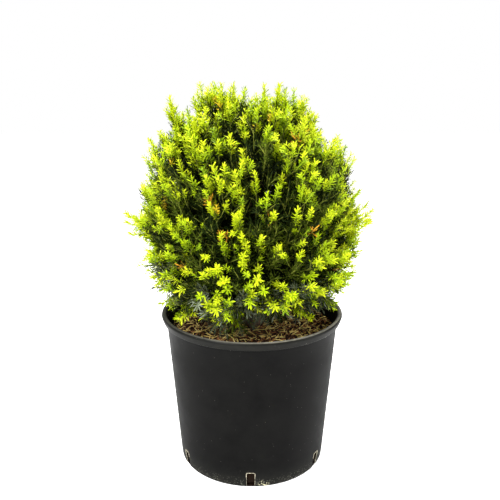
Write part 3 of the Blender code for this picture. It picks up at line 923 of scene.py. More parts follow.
def mix_shade_group():
    """Painted shade: darkens a colour towards the pot's left side, where the mix lies in shade."""
    tree, given, result = new_tree(
        "damp",
        "ShaderNodeTree",
        [("Dry colour", "colour", WHITE), ("Wet colour", "colour", (0.0, 0.0, 0.0, 1.0))],
        [("Colour", "colour")],
    )
    across = add(tree, "ShaderNodeSeparateXYZ", [("Vector", own_place(tree))]).outputs["X"]
    share = times(tree, ramp(tree, across, *SHADED_SIDE), SHADE_STRENGTH)
    colour = mixed(tree, share, given.outputs["Dry colour"], given.outputs["Wet colour"])
    wire(tree, colour, result.inputs["Colour"])
    return tree


MIX_SHADE = mix_shade_group()
print("painted shade from", SHADED_SIDE[0] * 1000, "to", SHADED_SIDE[1] * 1000, "mm across")

# %% Tones of the potting mix
SHADED_TONE = 0.3  # the painted shade's tone, against the unshaded one
# painted shade: below its top the bed is nearly black, and it shows in the slots
SLOT_SHADE_HEIGHTS = (MIX_LEVEL - 0.004, MIX_LEVEL - 0.010)
SLOT_SHADE_TONE = (0.0045, 0.0016, 0.0004)


def mix_material(name, dark, light, patch=0.003, has_slot_shade=False):
    """Unshaded tones, darkened by painted shade on the left side. Below its top the bed carries
    painted shade, nearly black, which shows in the slots.
    """
    made, tree, shader = new_material(name, 0.08)
    unshaded_colour = mottled(tree, shader, dark, light, patch, (0.8, 0.97))
    # painted shade: a darker copy of the dark tone, laid on the left side
    shaded_colour = (*(tone * SHADED_TONE for tone in dark), 1.0)
    inputs = [("Dry colour", unshaded_colour), ("Wet colour", shaded_colour)]
    colour = add(tree, "ShaderNodeGroup", inputs, node_tree=MIX_SHADE).outputs["Colour"]
    if has_slot_shade:
        # painted shade below the bed's top, where the slots show it
        height = add(tree, "ShaderNodeSeparateXYZ", [("Vector", own_place(tree))]).outputs["Z"]
        slot_shade = ramp(tree, height, *SLOT_SHADE_HEIGHTS)
        colour = blend(tree, slot_shade, 0.98, colour, SLOT_SHADE_TONE)
    wire(tree, colour, shader.inputs["Base Color"])
    bumpy(tree, shader, fine_noise(tree, 0.0012), 0.0003)
    return made


bed_tones = ((0.012, 0.006, 0.003), (0.34, 0.18, 0.07))
mix.data.materials.append(mix_material("potting_mix_bed", *bed_tones, 0.004, has_slot_shade=True))
keep(mix, "potting_mix", "potting_mix")

# %% Flakes, crumbs and fibres
# name, dark tone, light tone, number per square metre, shortest, longest, width, lift, tilt
LOOSE_PIECES = (
    ("bark_flakes", (0.09, 0.034, 0.014), (0.46, 0.22, 0.08), 18000, 0.004, 0.012, 0.46, 0.0018, 0.7),
    ("dark_crumbs", (0.008, 0.004, 0.003), (0.075, 0.034, 0.020), 34000, 0.003, 0.008, 0.8, 0.0022, 1.2),
    ("golden_fibres", (0.92, 0.60, 0.14), (1.0, 0.90, 0.38), 22000, 0.007, 0.018, 0.13, 0.0046, 0.4),
)
LOOSE_SEED = 20

scatter = scatter_tree()
for number, row in enumerate(LOOSE_PIECES):
    name, dark, light, count, short, long, width, lift, tilt = row
    flake = plain_object("flake", flake_mesh())
    values = {
        "Piece": flake,
        "Per square metre": float(count),
        "Shortest": short,
        "Longest": long,
        "Width": width,
        "Lift": lift,
        "Tilt": tilt,
        "Seed": LOOSE_SEED + number * 10,
        "Material": mix_material(name, dark, light),
    }
    pieces = run_tree(name, plain_object("bed_top", bed_top()), scatter, values)
    bpy.data.objects.remove(flake)
    keep(pieces, "potting_mix")

# %% [markdown]
# ## The trunk and the boughs
#
# A yew clipped from its youth keeps one short trunk with boughs close together. Its bark is
# thin, reddish brown, and peels in long strips. The limbs are chains of points with a
# thickness at each point, taken from the same rule as the plain model. Nodes sweep a circle
# along each chain, and then push the surface in and out by a noise that is read along the
# limb and round it, so the strips run lengthwise on every limb however it bends.

# %% The limbs' rule
TRUNK_TOP = 0.449
TRUNK_RADIUS = 0.0105
TRUNK_TIP_RADIUS = 0.0046
FLARE = 1.75
FLARE_HEIGHT = 0.020
TRUNK_LEAN = Vector((-0.004, 0.003, 0.0))
TRUNK_SWAY = 0.002
TRUNK_STEPS = 40
TRUNK_FOOT = MIX_CROWN - 0.004  # it starts a little way down in the mix
BOUGH_SHARE = 0.56
BOUGH_TIP_RADIUS = 0.0027
BOUGH_STEPS = 14
BOUGH_LIFT = 0.9  # how far a bough turns up as it leaves the trunk, against out
BEND_PULL = 0.45  # the higher, the longer a bend keeps to its two headings
LOWER_FORK = 0.262
UPPER_FORK = 0.338
FORK_STEP = 0.011
CROWN_CENTRE = Vector((-0.004, 0.0, 0.386))
HEART = 0.070
STEM_BACK = 0.006
MASSES_IN_A_RING = 5
RING_TURN = 0.22
RING_SLOPE = math.radians(25.0)


def trunk_share(height):
    return (height - MIX_CROWN) / (TRUNK_TOP - MIX_CROWN)


def trunk_point(height):
    share = trunk_share(height)
    sway = Vector((math.sin(share * math.pi), math.sin(share * math.tau), 0.0)) * TRUNK_SWAY
    return TRUNK_LEAN * share**2 + sway * share + UP * height


def trunk_radius(height):
    flare = (FLARE - 1.0) * math.exp(-(height - MIX_CROWN) / (FLARE_HEIGHT / 2))
    taper = (TRUNK_TIP_RADIUS - TRUNK_RADIUS) * trunk_share(height)
    return (TRUNK_RADIUS + taper) * (1.0 + flare)


def mass_directions():
    """Each mass's name and the direction of its middle from the crown's centre."""
    found = {"foliage_top": UP.copy()}
    for ring, slope, offset in (("upper", RING_SLOPE, 0.5), ("lower", -RING_SLOPE, 0.0)):
        for i in range(MASSES_IN_A_RING):
            azimuth = math.tau * (i + offset + RING_TURN) / MASSES_IN_A_RING - math.pi / 2
            level = Vector((math.cos(azimuth), math.sin(azimuth), 0.0))
            found[f"foliage_{ring}_{i + 1}"] = level * math.cos(slope) + UP * math.sin(slope)
    return found


def stem_start(direction):
    """Where a mass grows on from the tip of its bough, or from the trunk's."""
    if direction == UP:
        return trunk_point(TRUNK_TOP)
    return CROWN_CENTRE + direction * (HEART - STEM_BACK)


def bent(start, start_heading, end, end_heading, steps):
    """Points on a smooth bend from start to end."""
    pull = (end - start).length * BEND_PULL
    first = start + start_heading * pull
    second = end - end_heading * pull
    points = []
    for i in range(steps + 1):
        t = i / steps
        near = start * (1 - t) ** 3 + first * 3 * t * (1 - t) ** 2
        points.append(near + second * 3 * t**2 * (1 - t) + end * t**3)
    return points


def tapered(path, foot_radius, tip_radius, needle_size=0.0):
    """A chain of (place, thickness, needle size) that thins evenly along the path."""
    steps = len(path) - 1
    change = tip_radius - foot_radius
    return [(p, foot_radius + change * k / steps, needle_size) for k, p in enumerate(path)]


def bough_chain(ring, number, lowest_fork):
    """One bough, from its fork on the trunk to the heart of its mass."""
    fork = lowest_fork + FORK_STEP * (2 * number % MASSES_IN_A_RING)
    direction = DIRECTIONS[f"foliage_{ring}_{number + 1}"]
    level = Vector((direction.x, direction.y, 0.0)).normalized()
    leaving = (level + UP * BOUGH_LIFT).normalized()
    path = bent(trunk_point(fork), leaving, stem_start(direction), direction, BOUGH_STEPS)
    return tapered(path, trunk_radius(fork) * BOUGH_SHARE, BOUGH_TIP_RADIUS)


def limb_chains():
    """The trunk and its ten boughs."""
    rise = TRUNK_TOP - MIX_CROWN + 0.004
    heights = [TRUNK_FOOT + rise * i / TRUNK_STEPS for i in range(TRUNK_STEPS + 1)]
    chains = [[(trunk_point(z), trunk_radius(max(z, MIX_CROWN)), 0.0) for z in heights]]
    for ring, lowest_fork in (("upper", UPPER_FORK), ("lower", LOWER_FORK)):
        chains += [bough_chain(ring, i, lowest_fork) for i in range(MASSES_IN_A_RING)]
    return chains


DIRECTIONS = mass_directions()
limbs = limb_chains()
print(len(limbs), "limbs")


# %% Bark with its relief
def store(tree, geometry, name, value):
    """Keeps a value on the geometry's points under a name, and gives the geometry."""
    inputs = [("Geometry", geometry), ("Name", name), ("Value", value)]
    kind = {"data_type": "FLOAT", "domain": "POINT"}
    return add(tree, "GeometryNodeStoreNamedAttribute", inputs, **kind).outputs[0]


def bark_tree():
    """Sweeps the limbs, then pushes their skin in and out in long strips."""
    tree, given, result = geometry_tree(
        "bark_on_limbs",
        [
            ("Limbs", "geometry", None),
            ("Step", "float", 0.0022),
            ("Sides", "int", 24),
            ("Relief", "float", 0.0006),
            ("Strips round", "float", 2.4),
            ("Strips along", "float", 55.0),
        ],
    )
    paths = thick(tree, lines(tree, given.outputs["Limbs"], given.outputs["Step"]))
    ring = circle(tree, given.outputs["Sides"])
    walked = tree.nodes.new("GeometryNodeSplineParameter").outputs
    paths = store(tree, paths, "along_limb", walked["Length"])
    ring = store(tree, ring, "round_limb", times(tree, walked["Factor"], math.tau))
    skin = swept(tree, paths, ring)
    angle, strips = named(tree, "round_limb"), given.outputs["Strips round"]
    across = times(tree, maths(tree, "COSINE", angle), strips)
    deep = times(tree, maths(tree, "SINE", angle), strips)
    down = times(tree, named(tree, "along_limb"), given.outputs["Strips along"])
    where = vector(tree, across, deep, down)
    pattern = [("Vector", where), ("Scale", 1.0), ("Detail", 4.0), ("Roughness", 0.65)]
    strip = add(tree, "ShaderNodeTexNoise", pattern).outputs["Fac"]
    push = times(tree, maths(tree, "SUBTRACT", strip, 0.5), 2.0, given.outputs["Relief"])
    outwards = tree.nodes.new("GeometryNodeInputNormal").outputs[0]
    inputs = [(0, outwards), ("Scale", push)]
    offset = add(tree, "ShaderNodeVectorMath", inputs, operation="SCALE").outputs[0]
    inputs = [("Geometry", skin), ("Offset", offset)]
    rough = add(tree, "GeometryNodeSetPosition", inputs).outputs[0]
    return finish_tree(tree, given, rough, result)


def bark_material(name, dark, light, patch, stretch, specular=0.3):
    made, tree, shader = new_material(name, specular)
    mottled(tree, shader, dark, light, patch, (0.7, 0.95), stretch)
    bumpy(tree, shader, fine_noise(tree, patch / 2, stretch), 0.0004)
    return made


tones = ((0.030, 0.014, 0.008), (0.21, 0.115, 0.070))
bark = bark_material("peeling_bark", *tones, 0.004, (1.0, 1.0, 0.3))
limb_start = plain_object("limb_chains", chain_mesh("limb_chains", limbs))
bark_skin = run_tree("bark_limbs", limb_start, bark_tree(), {"Material": bark})
bark_skin.data.shade_smooth()
keep(bark_skin, "bark", *LIMBS)

# %% [markdown]
# ## How the crown grows
#
# The crown is a clipped ball, a little boxy, whose surface wanders in and out. Every shoot
# ends near that surface. A *leader* is a twig of two or three years: it bends up from the
# inside of the ball towards the light and carries short side twigs. Where light and the
# shears have woken its buds, new shoots stand on its end.
#
# The leaders could be thrown at random over the ball, but they would clump and leave holes.
# A golden-angle spiral spaces them evenly, and a shake hides the spiral. The surface is a
# rule, not a mesh: one function gives its distance in any direction, with wide folds where
# the shears went deeper or the shoots ran on.

# %% The crown's surface and the way shoots point
CROWN_REACH = 0.168
CROWN_RISE = 0.194
CROWN_DROP = 0.164
SQUARENESS_ABOVE = 2.6
SQUARENESS_BELOW = 3.2
SWELL = 0.035
SWELLS_ACROSS = 2.3
RIM_CLEARANCE = 0.002
LOWEST_YOUNG = 0.250  # young shoots need light, so none hangs lower

# Where the shears went deeper or the shoots ran on: the two ends of each fold as (azimuth from
# +X, slope), its half width, and the share that it adds to the crown, with angles in degrees
FOLDS = (
    ((-24.0, 52.0), (54.0, 28.0), 13.0, -0.150),
    ((-21.0, 68.0), (62.0, 43.0), 9.0, 0.015),
    ((-150.0, 52.0), (128.0, 34.0), 17.0, -0.085),
    ((-152.0, -8.0), (150.0, -28.0), 9.0, -0.070),
    ((-30.0, -4.0), (30.0, -16.0), 8.0, -0.030),
    ((-30.0, 24.0), (34.0, 14.0), 8.0, -0.030),
    ((-36.0, -29.0), (16.0, -42.0), 10.0, 0.080),
    ((-92.0, -44.0), (-52.0, -42.0), 19.0, -0.120),
    ((-170.0, 6.0), (165.0, -6.0), 8.0, 0.030),
    ((-14.0, 4.0), (14.0, -4.0), 7.0, 0.030),
    ((-120.0, 70.0), (140.0, 62.0), 12.0, 0.030),
)


def towards(azimuth, slope):
    """The unit vector with this azimuth and slope, in degrees."""
    turn, rise = math.radians(azimuth), math.radians(slope)
    level = math.cos(rise)
    return Vector((math.cos(turn) * level, math.sin(turn) * level, math.sin(rise)))


def smooth(value, low, high):
    """0 below low, 1 above high, and an even change between them."""
    t = min(1.0, max(0.0, (value - low) / (high - low)))
    return t * t * (3.0 - 2.0 * t)


def from_fold(direction, start, end):
    """The angle in degrees between a direction and the nearest part of a fold."""
    span = end - start
    share = (direction - start).dot(span) / span.length_squared
    nearest = start + span * min(1.0, max(0.0, share))
    return math.degrees(direction.angle(nearest))


def crown_distance(direction):
    """From the crown's centre to its surface, in this direction."""
    out = math.hypot(direction.x, direction.y) / CROWN_REACH
    above = direction.z > 0
    rise = abs(direction.z) / (CROWN_RISE if above else CROWN_DROP)
    power = SQUARENESS_ABOVE if above else SQUARENESS_BELOW
    swell = 1.0 + SWELL * noise.noise(direction * SWELLS_ACROSS)
    for start, end, width, change in FOLDS:
        angle = from_fold(direction, towards(*start), towards(*end))
        swell += change * (1.0 - smooth(angle, 0.0, width))
    return swell * (out**power + rise**power) ** (-1 / power)


def clear_of_pot(point):
    """Whether a point is clear of the pot's rim and of the potting mix."""
    out = math.hypot(point.x, point.y)
    over_rim = point.z > POT_HEIGHT + RIM_CLEARANCE
    inside_rim = out < SHOULDER_RADIUS - WALL - 2 * RIM_CLEARANCE
    return over_rim or (inside_rim and point.z > MIX_CROWN + RIM_CLEARANCE)


def spread_headings(count, shake, dice):
    """Unit vectors spread evenly over a sphere along one golden-angle spiral, then shaken."""
    golden_turn = math.pi * (3.0 - math.sqrt(5.0))
    shake *= math.sqrt(4.0 * math.pi / count)
    for i in range(count):
        height = 1.0 - 2.0 * (i + 0.5) / count
        level = math.sqrt(1.0 - height**2)
        even = Vector((math.cos(golden_turn * i) * level, math.sin(golden_turn * i) * level, height))
        yield (even + Vector(dice.uniform(-shake, shake) for _ in range(3))).normalized()


for label, arm in (("top", UP), ("left", towards(180, 0)), ("front", towards(-90, 0))):
    print(f"the crown reaches {crown_distance(arm) * 1000:.0f} mm to the {label}")

# %% [markdown]
# A clipped yew never greens evenly. The top gets the most light and the underside the least,
# shoots stand in clumps with shaded gaps between them, and some sides have been clipped
# harder than others. So the share of leaders that carry new shoots is a rule too: it rises
# with the slope, follows the clumps, and is raised or lowered in round patches.

# %% Where the new growth is strong
VIGOUR = 0.50
VIGOUR_ON_TOP = 0.44
VIGOUR_LOST_BELOW = 0.20
VIGOUR_WANDER = 0.20
VIGOUR_OF_CLUMPS = 0.9
LEAST_VIGOUR = 0.08
MOST_VIGOUR = 0.98
WANDER_ACROSS = 4.0
WANDER_SHIFT = Vector((7.0, 3.0, 1.0))
CLUMPS_ACROSS = 7.5
CLUMP_DEPTH = 0.15  # how far the gaps between clumps go in, as a share of the crown

# azimuth and slope of the patch's middle, its half width in degrees, and what it adds
VIGOUR_PATCHES = (
    (-68.0, 4.0, 32.0, -0.42), (-108.0, 53.0, 15.0, -0.90), (-87.0, 44.0, 14.0, -0.70),
    (-106.0, 33.0, 14.0, 0.85), (-66.0, 39.0, 13.0, 0.60), (-54.0, 33.0, 15.0, 0.60),
    (-118.0, 22.0, 14.0, -0.90), (-117.0, -9.0, 16.0, -0.70), (-98.0, 2.0, 8.0, -0.40),
    (-78.0, -17.0, 12.0, -0.50), (-56.0, -34.0, 12.0, 0.50), (-78.0, 28.0, 12.0, 0.40),
    (-93.0, 13.0, 11.0, 0.35), (-121.0, 4.0, 10.0, 0.45), (-90.0, -10.0, 50.0, -0.66),
    (-130.0, 25.0, 14.0, -0.30), (-90.0, -44.0, 16.0, -0.40), (-38.0, -4.0, 26.0, 0.55),
    (-18.0, 6.0, 24.0, 0.35), (0.0, -8.0, 30.0, 0.30), (-8.0, -24.0, 26.0, 0.50),
    (-28.0, -33.0, 16.0, 0.40), (-165.0, 28.0, 36.0, 0.25), (-178.0, 0.0, 26.0, 0.15),
    (-176.0, -27.0, 18.0, -0.40), (78.0, 4.0, 32.0, -0.30), (130.0, 10.0, 30.0, -0.20),
)


def clump(arm):
    """Above 0 in a clump of shoots and below 0 in the gaps between clumps."""
    return noise.noise(arm * CLUMPS_ACROSS)


def vigour(arm):
    """Share of the leaders that have new shoots, where arm points from the crown's centre."""
    high, low = smooth(arm.z, 0.25, 0.95), smooth(-arm.z, 0.2, 0.6)
    value = VIGOUR + VIGOUR_ON_TOP * high - VIGOUR_LOST_BELOW * low
    wandering = noise.noise(arm * WANDER_ACROSS + WANDER_SHIFT)
    value += VIGOUR_WANDER * wandering + VIGOUR_OF_CLUMPS * clump(arm)
    for azimuth, slope, width, change in VIGOUR_PATCHES:
        angle = math.degrees(arm.angle(towards(azimuth, slope)))
        value += change * (1.0 - smooth(angle, 0.0, width))
    return min(MOST_VIGOUR, max(LEAST_VIGOUR, value))


for label, arm in (("top", UP), ("left", towards(180, 0)), ("front", towards(-90, 0))):
    print(f"vigour at the {label}: {vigour(arm):.2f}")

# %% [markdown]
# Most leaders come from the spiral, but some shoots have a place of their own: steep ones
# that stand over the outline, leading ones that have run on at the sides, old ones that hang
# over the mix, and tufts in front of shaded gaps. They are placed one by one in short tables,
# because no rule would put them where a gardener's shears happened to miss them.

# %% Shoots that are placed one by one
# Shoots that grew past the clipped outline: azimuth from +X, rise over the crown's centre,
# distance from its upright axis, and how steeply they point up
STEEP_SHOOTS = (
    (176.0, 0.174, 0.116, 2.6), (173.0, 0.166, 0.113, 2.6), (172.0, 0.152, 0.100, 2.6),
    (178.0, 0.158, 0.111, 2.4), (170.0, 0.160, 0.112, 2.4), (-140.0, 0.150, 0.098, 2.0),
    (-20.0, 0.194, 0.040, 3.0), (60.0, 0.192, 0.052, 3.0), (170.0, 0.194, 0.068, 3.0),
)
LEADING_SHOOTS = (
    (179.0, 0.004, 0.187, 0.6), (184.0, -0.006, 0.184, 0.3), (-7.0, 0.010, 0.184, 0.6),
    (6.0, -0.006, 0.184, 0.4), (95.0, 0.010, 0.184, 0.5), (-14.0, 0.002, 0.178, 0.8),
    (-4.0, -0.010, 0.168, 0.5), (3.0, 0.018, 0.176, 0.9), (190.0, 0.012, 0.176, 0.6),
    (187.0, -0.018, 0.176, 0.3),
)

# Old shoots that hang over the mix, in the same terms
HANGING_SHOOTS = (
    (-104.0, -0.138, 0.096, -0.20), (-110.0, -0.146, 0.088, -0.25), (-116.0, -0.132, 0.102, -0.15),
    (-99.0, -0.148, 0.082, -0.30), (-108.0, -0.128, 0.108, -0.10), (-121.0, -0.142, 0.090, -0.20),
    (-80.0, -0.126, 0.106, 0.0), (-74.0, -0.132, 0.100, -0.05), (-66.0, -0.128, 0.108, 0.0),
    (-58.0, -0.134, 0.102, -0.10), (-50.0, -0.130, 0.106, -0.05), (-103.0, -0.150, 0.112, -0.35),
    (-107.0, -0.147, 0.118, -0.30), (-112.0, -0.150, 0.112, -0.35), (-98.0, -0.150, 0.104, -0.40),
    (-117.0, -0.147, 0.114, -0.30),
)

# Tufts that stand alone in front of shaded gaps: azimuth from +X and slope, in degrees
TUFTS = (
    (-107.0, 33.0), (-102.0, 33.0), (-110.0, 28.0), (-104.0, 28.0), (-66.0, 41.0),
    (-61.0, 37.0), (-62.0, 22.0), (-107.0, 18.0), (-118.0, 9.0), (-61.0, 33.0),
    (-56.0, 34.0), (-58.0, 29.0), (-96.0, 14.0), (-79.0, 14.0), (-67.0, 15.0),
    (-60.0, 14.0), (-50.0, 12.0), (-136.0, 7.0), (-130.0, 4.0), (-103.0, 4.0),
    (-93.0, 4.0), (-85.0, 3.0), (-91.0, 0.0), (-92.0, -5.0), (-111.0, -6.0),
    (-77.0, -2.0), (-65.0, -6.0), (-56.0, -10.0), (-46.0, -12.0), (-31.0, -14.0),
    (-105.0, -11.0), (-112.0, -15.0), (-102.0, -17.0), (-86.0, -17.0), (-58.0, -22.0),
    (-37.0, -22.0), (-70.0, -24.0), (-47.0, -28.0), (-62.0, -34.0), (-70.0, -33.0),
    (-76.0, -32.0), (-127.0, -26.0), (-107.0, -32.0),
)

print(len(STEEP_SHOOTS) + len(LEADING_SHOOTS), "shoots past the outline,", end=" ")
print(len(HANGING_SHOOTS), "that hang and", len(TUFTS), "tufts")

# %% Dice, and the tint of each spray
SEED = 11
SHADE_DEPTH = 0.84  # needles closer to the crown's middle than this share are in full shade, which is painted near black on them

dice = random.Random(SEED)
old_sprays = {"shade": [], "deep": [], "mid": [], "slate": [], "pale": [], "rust": []}
new_sprays = {"lime": [], "fresh": [], "leaf": [], "gold": []}
GREENER = {"lime": "fresh", "gold": "lime", "fresh": "leaf", "leaf": "leaf"}


def wander(amount):
    return Vector(dice.uniform(-amount, amount) for _ in range(3))


def between(pair):
    return dice.uniform(*pair)


def weighted(table):
    """Picks a key of the table, each as often as its value says."""
    return dice.choices(list(table), weights=list(table.values()))[0]


def old_tint(arm):
    """A tint for a spray of old needles: more slate low down."""
    low = smooth(-arm.z, 0.15, 0.65)
    return weighted({"deep": 0.55 - 0.30 * low, "mid": 0.45 - 0.35 * low, "slate": 0.65 * low})


def new_tint(arm):
    """A tint for a spray of young needles: more lime at the top."""
    high, top = smooth(arm.z, -0.2, 0.7), smooth(arm.z, 0.60, 0.85)
    leaf = 0.04 + 0.10 * high * (1.0 - top)
    return weighted({"lime": 0.50 + 0.40 * top, "fresh": 0.36, "leaf": leaf})


print("tints of old needles:", ", ".join(old_sprays), "and of young ones:", ", ".join(new_sprays))

# %% [markdown]
# A young shoot is one to three centimetres long and nearly straight. Its needles are largest
# low down on the plant, where they reach for light, and its foot is one step greener than
# its end. On a leader's end one shoot carries on its line, and a few shorter ones stand up
# beside it like a plume.

# %% A young shoot and its plume
SHOOT_RADII = (0.0006, 0.00055, 0.0004)  # at the foot, the middle and the tip
SHOOT_SHAKE = 0.12
TINT_CHANGE = (0.25, 0.5)  # where along a shoot its tint changes
TINT_GAP = 0.03
BLUNTNESS = 0.12  # the last needles of a shoot are this much shorter on the crown's upper half
GOLD_CHANCE = 0.045
SAME_YOUNG_TINT = 0.75
BESIDE_BACK = 0.012
BESIDE_ANGLE = (0.45, 0.85)
BESIDE_LENGTH = (0.45, 0.80)
BESIDE_SIZE = 0.9
young_stems = []


def thinning(points, needle_size):
    """A chain over three points that thins from its foot to its tip."""
    return [(point, radius, needle_size) for point, radius in zip(points, SHOOT_RADII)]


def new_shoot(place, heading, length, size, tint):
    """A straight young shoot: its foot has needles of the next greener tint."""
    end = place + (heading + wander(SHOOT_SHAKE)).normalized() * length
    change = between(TINT_CHANGE)
    middle = place.lerp(end, change) + wander(0.0008)
    past = place.lerp(end, change + TINT_GAP)
    if not all(clear_of_pot(point) for point in (place, middle, end)) or end.z < LOWEST_YOUNG:
        return
    young_stems.append(thinning((place, middle, end), size))
    points = (place, middle, past, end)
    last = size * (1.0 - BLUNTNESS * smooth((end - CROWN_CENTRE).normalized().z, -0.1, 0.5))
    for kind, sizes in ((GREENER[tint], (size, size, 0, 0)), (tint, (0, 0, size, last))):
        new_sprays[kind].append([(point, 0.0, own) for point, own in zip(points, sizes)])


def aside(heading, angle):
    """The heading turned away by an angle, to a random side."""
    turned_away = heading.copy()
    axis = heading.cross(wander(1.0))
    turned_away.rotate(Matrix.Rotation(angle, 3, axis.normalized()))
    return turned_away


def needle_size(arm):
    """How large the young needles are: largest low down, smallest half way up the side."""
    return 1.0 - 0.26 * smooth(arm.z, -0.30, 0.0) + 0.14 * smooth(arm.z, 0.35, 0.70)


def plume(tip, heading, length, arm, kind, size, others):
    """A young shoot on a leader's end, with shorter ones that stand up beside it."""
    new_shoot(tip, heading, length, size, kind)
    for _ in range(others):
        start = tip - heading * between((0.0, BESIDE_BACK))
        side = aside(heading, between(BESIDE_ANGLE))
        side = (side + UP * (0.25 + 0.40 * smooth(arm.z, -0.2, 0.1))).normalized()
        side_kind = kind if dice.random() < SAME_YOUNG_TINT else new_tint(arm)
        if dice.random() < GOLD_CHANCE:
            side_kind = "gold"
        new_shoot(start, side, length * between(BESIDE_LENGTH), size * BESIDE_SIZE, side_kind)


print(f"needles {needle_size(UP):.2f} of full size on top, {needle_size(towards(0, 0)):.2f} at the side")

# %% [markdown]
# A leader is grown backwards from its tip, because the tip's place is known and its foot is
# not: step by step it turns from its upright heading to the arm that points out from the
# crown's centre. What would run into the pot is cut off. Side twigs leave it at short steps,
# longer near its foot. Needles deep inside the crown are plain, near black with painted shade,
# and larger, so that fewer of them close it.

# %% A leader with its side twigs
OLD_LENGTH = (0.050, 0.085)
LEADER_STEPS = 6
LEADER_TURN = 0.55
LEADER_WANDER = 0.05
LEADER_RADIUS = 0.00085
TWIG_TIP_RADIUS = 0.00055
LOW_SHOOTS = (0.012, 0.020)
HIGH_SHOOTS = (0.015, 0.031)
TUFT_LENGTH = 0.85
SET_BACK = 0.55  # how far a leader with no new shoot stays below the rest, in new shoots
SIDE_SPACING = 0.014
SIDE_LENGTH = (0.016, 0.030)
SIDE_ANGLE = (0.60, 0.95)
SIDE_NEEDLES = 0.9
SIDE_TUFT_LENGTH = (0.009, 0.018)
SIDE_TUFT_SIZE = 0.85
SAME_OLD_TINT = 0.7
RUST_CHANCE = 0.013
PALE_CHANCE = 0.22
NEEDLE_OVERHANG = 0.006  # needles stand past the end of their shoot by about this much
SHADE_SIZE = 1.35  # larger needles in the shade, where nobody sees them singly
twigs = []


def backwards(tip, heading, arm, length):
    """A leader's path, from its foot to its tip: it swings up into its heading."""
    points = [tip]
    for i in range(LEADER_STEPS):
        share = (i + 0.5) / LEADER_STEPS
        way = heading * (1.0 - LEADER_TURN * share) + arm * LEADER_TURN * share
        way = (way + wander(LEADER_WANDER)).normalized()
        points.append(points[-1] - way * (length / LEADER_STEPS))
    return points[::-1]


def side_tint(arm, depth, tint):
    """The tint of a side twig: mostly its leader's, at times rusty, or pale low down."""
    kind = "shade" if depth < SHADE_DEPTH else tint if dice.random() < SAME_OLD_TINT else old_tint(arm)
    if depth > SHADE_DEPTH:
        chance = dice.random()
        if chance < RUST_CHANCE:
            kind = "rust"
        elif chance > 1.0 - PALE_CHANCE * smooth(-arm.z, 0.25, 0.7):
            kind = "pale"
    return kind


def side_twig(start, way, length, arm, strength, tint):
    """A short side twig with old needles, and at times a young tuft on its end."""
    side = aside(way, between(SIDE_ANGLE))
    end = start + (side + UP * 0.2).normalized() * length
    out = (end - CROWN_CENTRE).normalized()
    depth = (end - CROWN_CENTRE).length / (crown_distance(out) - NEEDLE_OVERHANG)
    if depth > 1.0 or not clear_of_pot(end):
        return
    chain = thinning((start, start.lerp(end, 0.5) + wander(0.001), end), SIDE_NEEDLES)
    twigs.append(chain)
    kind = side_tint(arm, depth, tint)
    grown = SHADE_SIZE if kind == "shade" else 1.0
    old_sprays[kind].append([(point, radius, size * grown) for point, radius, size in chain])
    if depth > SHADE_DEPTH + 0.02 and dice.random() < strength * 0.5:
        small, heading = SIDE_TUFT_SIZE * needle_size(arm), (side + UP * 0.5).normalized()
        new_shoot(end, heading, between(SIDE_TUFT_LENGTH), small, new_tint(arm))


def young_length(arm, strength):
    """How long a leader's new shoot is; a strength over 1 is a share of the longest."""
    high = smooth(arm.z, -0.45, 0.35)
    young = between(LOW_SHOOTS) * (1 - high) + between(HIGH_SHOOTS) * high
    if strength > 1.0:
        return strength * HIGH_SHOOTS[1]
    return young * (0.80 + 0.30 * strength if strength < 1.0 else TUFT_LENGTH)


def set_side_twigs(path, length, arm, strength, tint):
    """Side twigs in uneven steps from a leader's foot to its tip."""
    walked = SIDE_SPACING * dice.uniform(0.3, 1.0)
    while walked < length * 0.95:
        share = walked / length * (len(path) - 1)
        k = min(len(path) - 2, int(share))
        start = path[k].lerp(path[k + 1], share - k)
        way = (path[k + 1] - path[k]).normalized()
        shorter = 1.15 - 0.5 * walked / length
        side_twig(start, way, between(SIDE_LENGTH) * shorter, arm, strength, tint)
        walked += SIDE_SPACING * dice.uniform(0.7, 1.3)


def grow_leader(tip, arm, lift, strength, crowd):
    """One leader with its side twigs and new shoots; gives its foot and the way it starts."""
    heading = (arm + UP * lift).normalized()
    fresh = dice.random() < strength
    young = young_length(arm, strength)
    old_tip = tip - heading * young * (1.0 if fresh else SET_BACK)
    length = between(OLD_LENGTH)
    path = backwards(old_tip, heading, arm, length)
    while path and not clear_of_pot(path[0]):
        path = path[1:]
    if len(path) < 3:
        return None
    chain = tapered(path, LEADER_RADIUS, TWIG_TIP_RADIUS, 1.0)
    twigs.append(chain)
    tint = old_tint(arm)
    half = (len(path) - 1) // 2
    # painted shade: the inner half of a leader gets the near-black tint
    inner = [(point, radius, SHADE_SIZE) for point, radius, _ in chain[1 : half + 1]]
    old_sprays["shade"].append(inner)
    old_sprays[tint].append(chain[half:])
    if fresh:
        kind = "lime" if strength >= 1.0 else new_tint(arm)
        size = 1.0 if strength > 1.0 else needle_size(arm)
        way = (path[-1] - path[-2]).normalized()
        plume(old_tip, way, young, arm, kind, size, dice.choice(crowd))
    set_side_twigs(path, length, arm, strength, tint)
    return path[0], (path[1] - path[0]).normalized()


print(f"leaders are {OLD_LENGTH[0] * 1000:.0f} to {OLD_LENGTH[1] * 1000:.0f} mm long")

# %% [markdown]
# Now every leader is grown. Each one starts its own run of random numbers from its own
# number, so a change to one shoot leaves all the others as they are. Its foot is noted for
# the mass whose direction is nearest, to be joined to the bough of that mass.

# %% Grow every leader
LEADER_COUNT = 960
LEADER_SHAKE = 0.42
LOWEST_LEADER = -0.88
SEEDS_APART = 10000
UNEVEN = (-0.07, 0.025)  # how far a leader's tip may be off the crown's surface, as a share
TOP_SLOPE = 0.68
FULL_SUN = 1.1  # a strength above 1 makes a shoot long, and one of 1 or more makes it lime

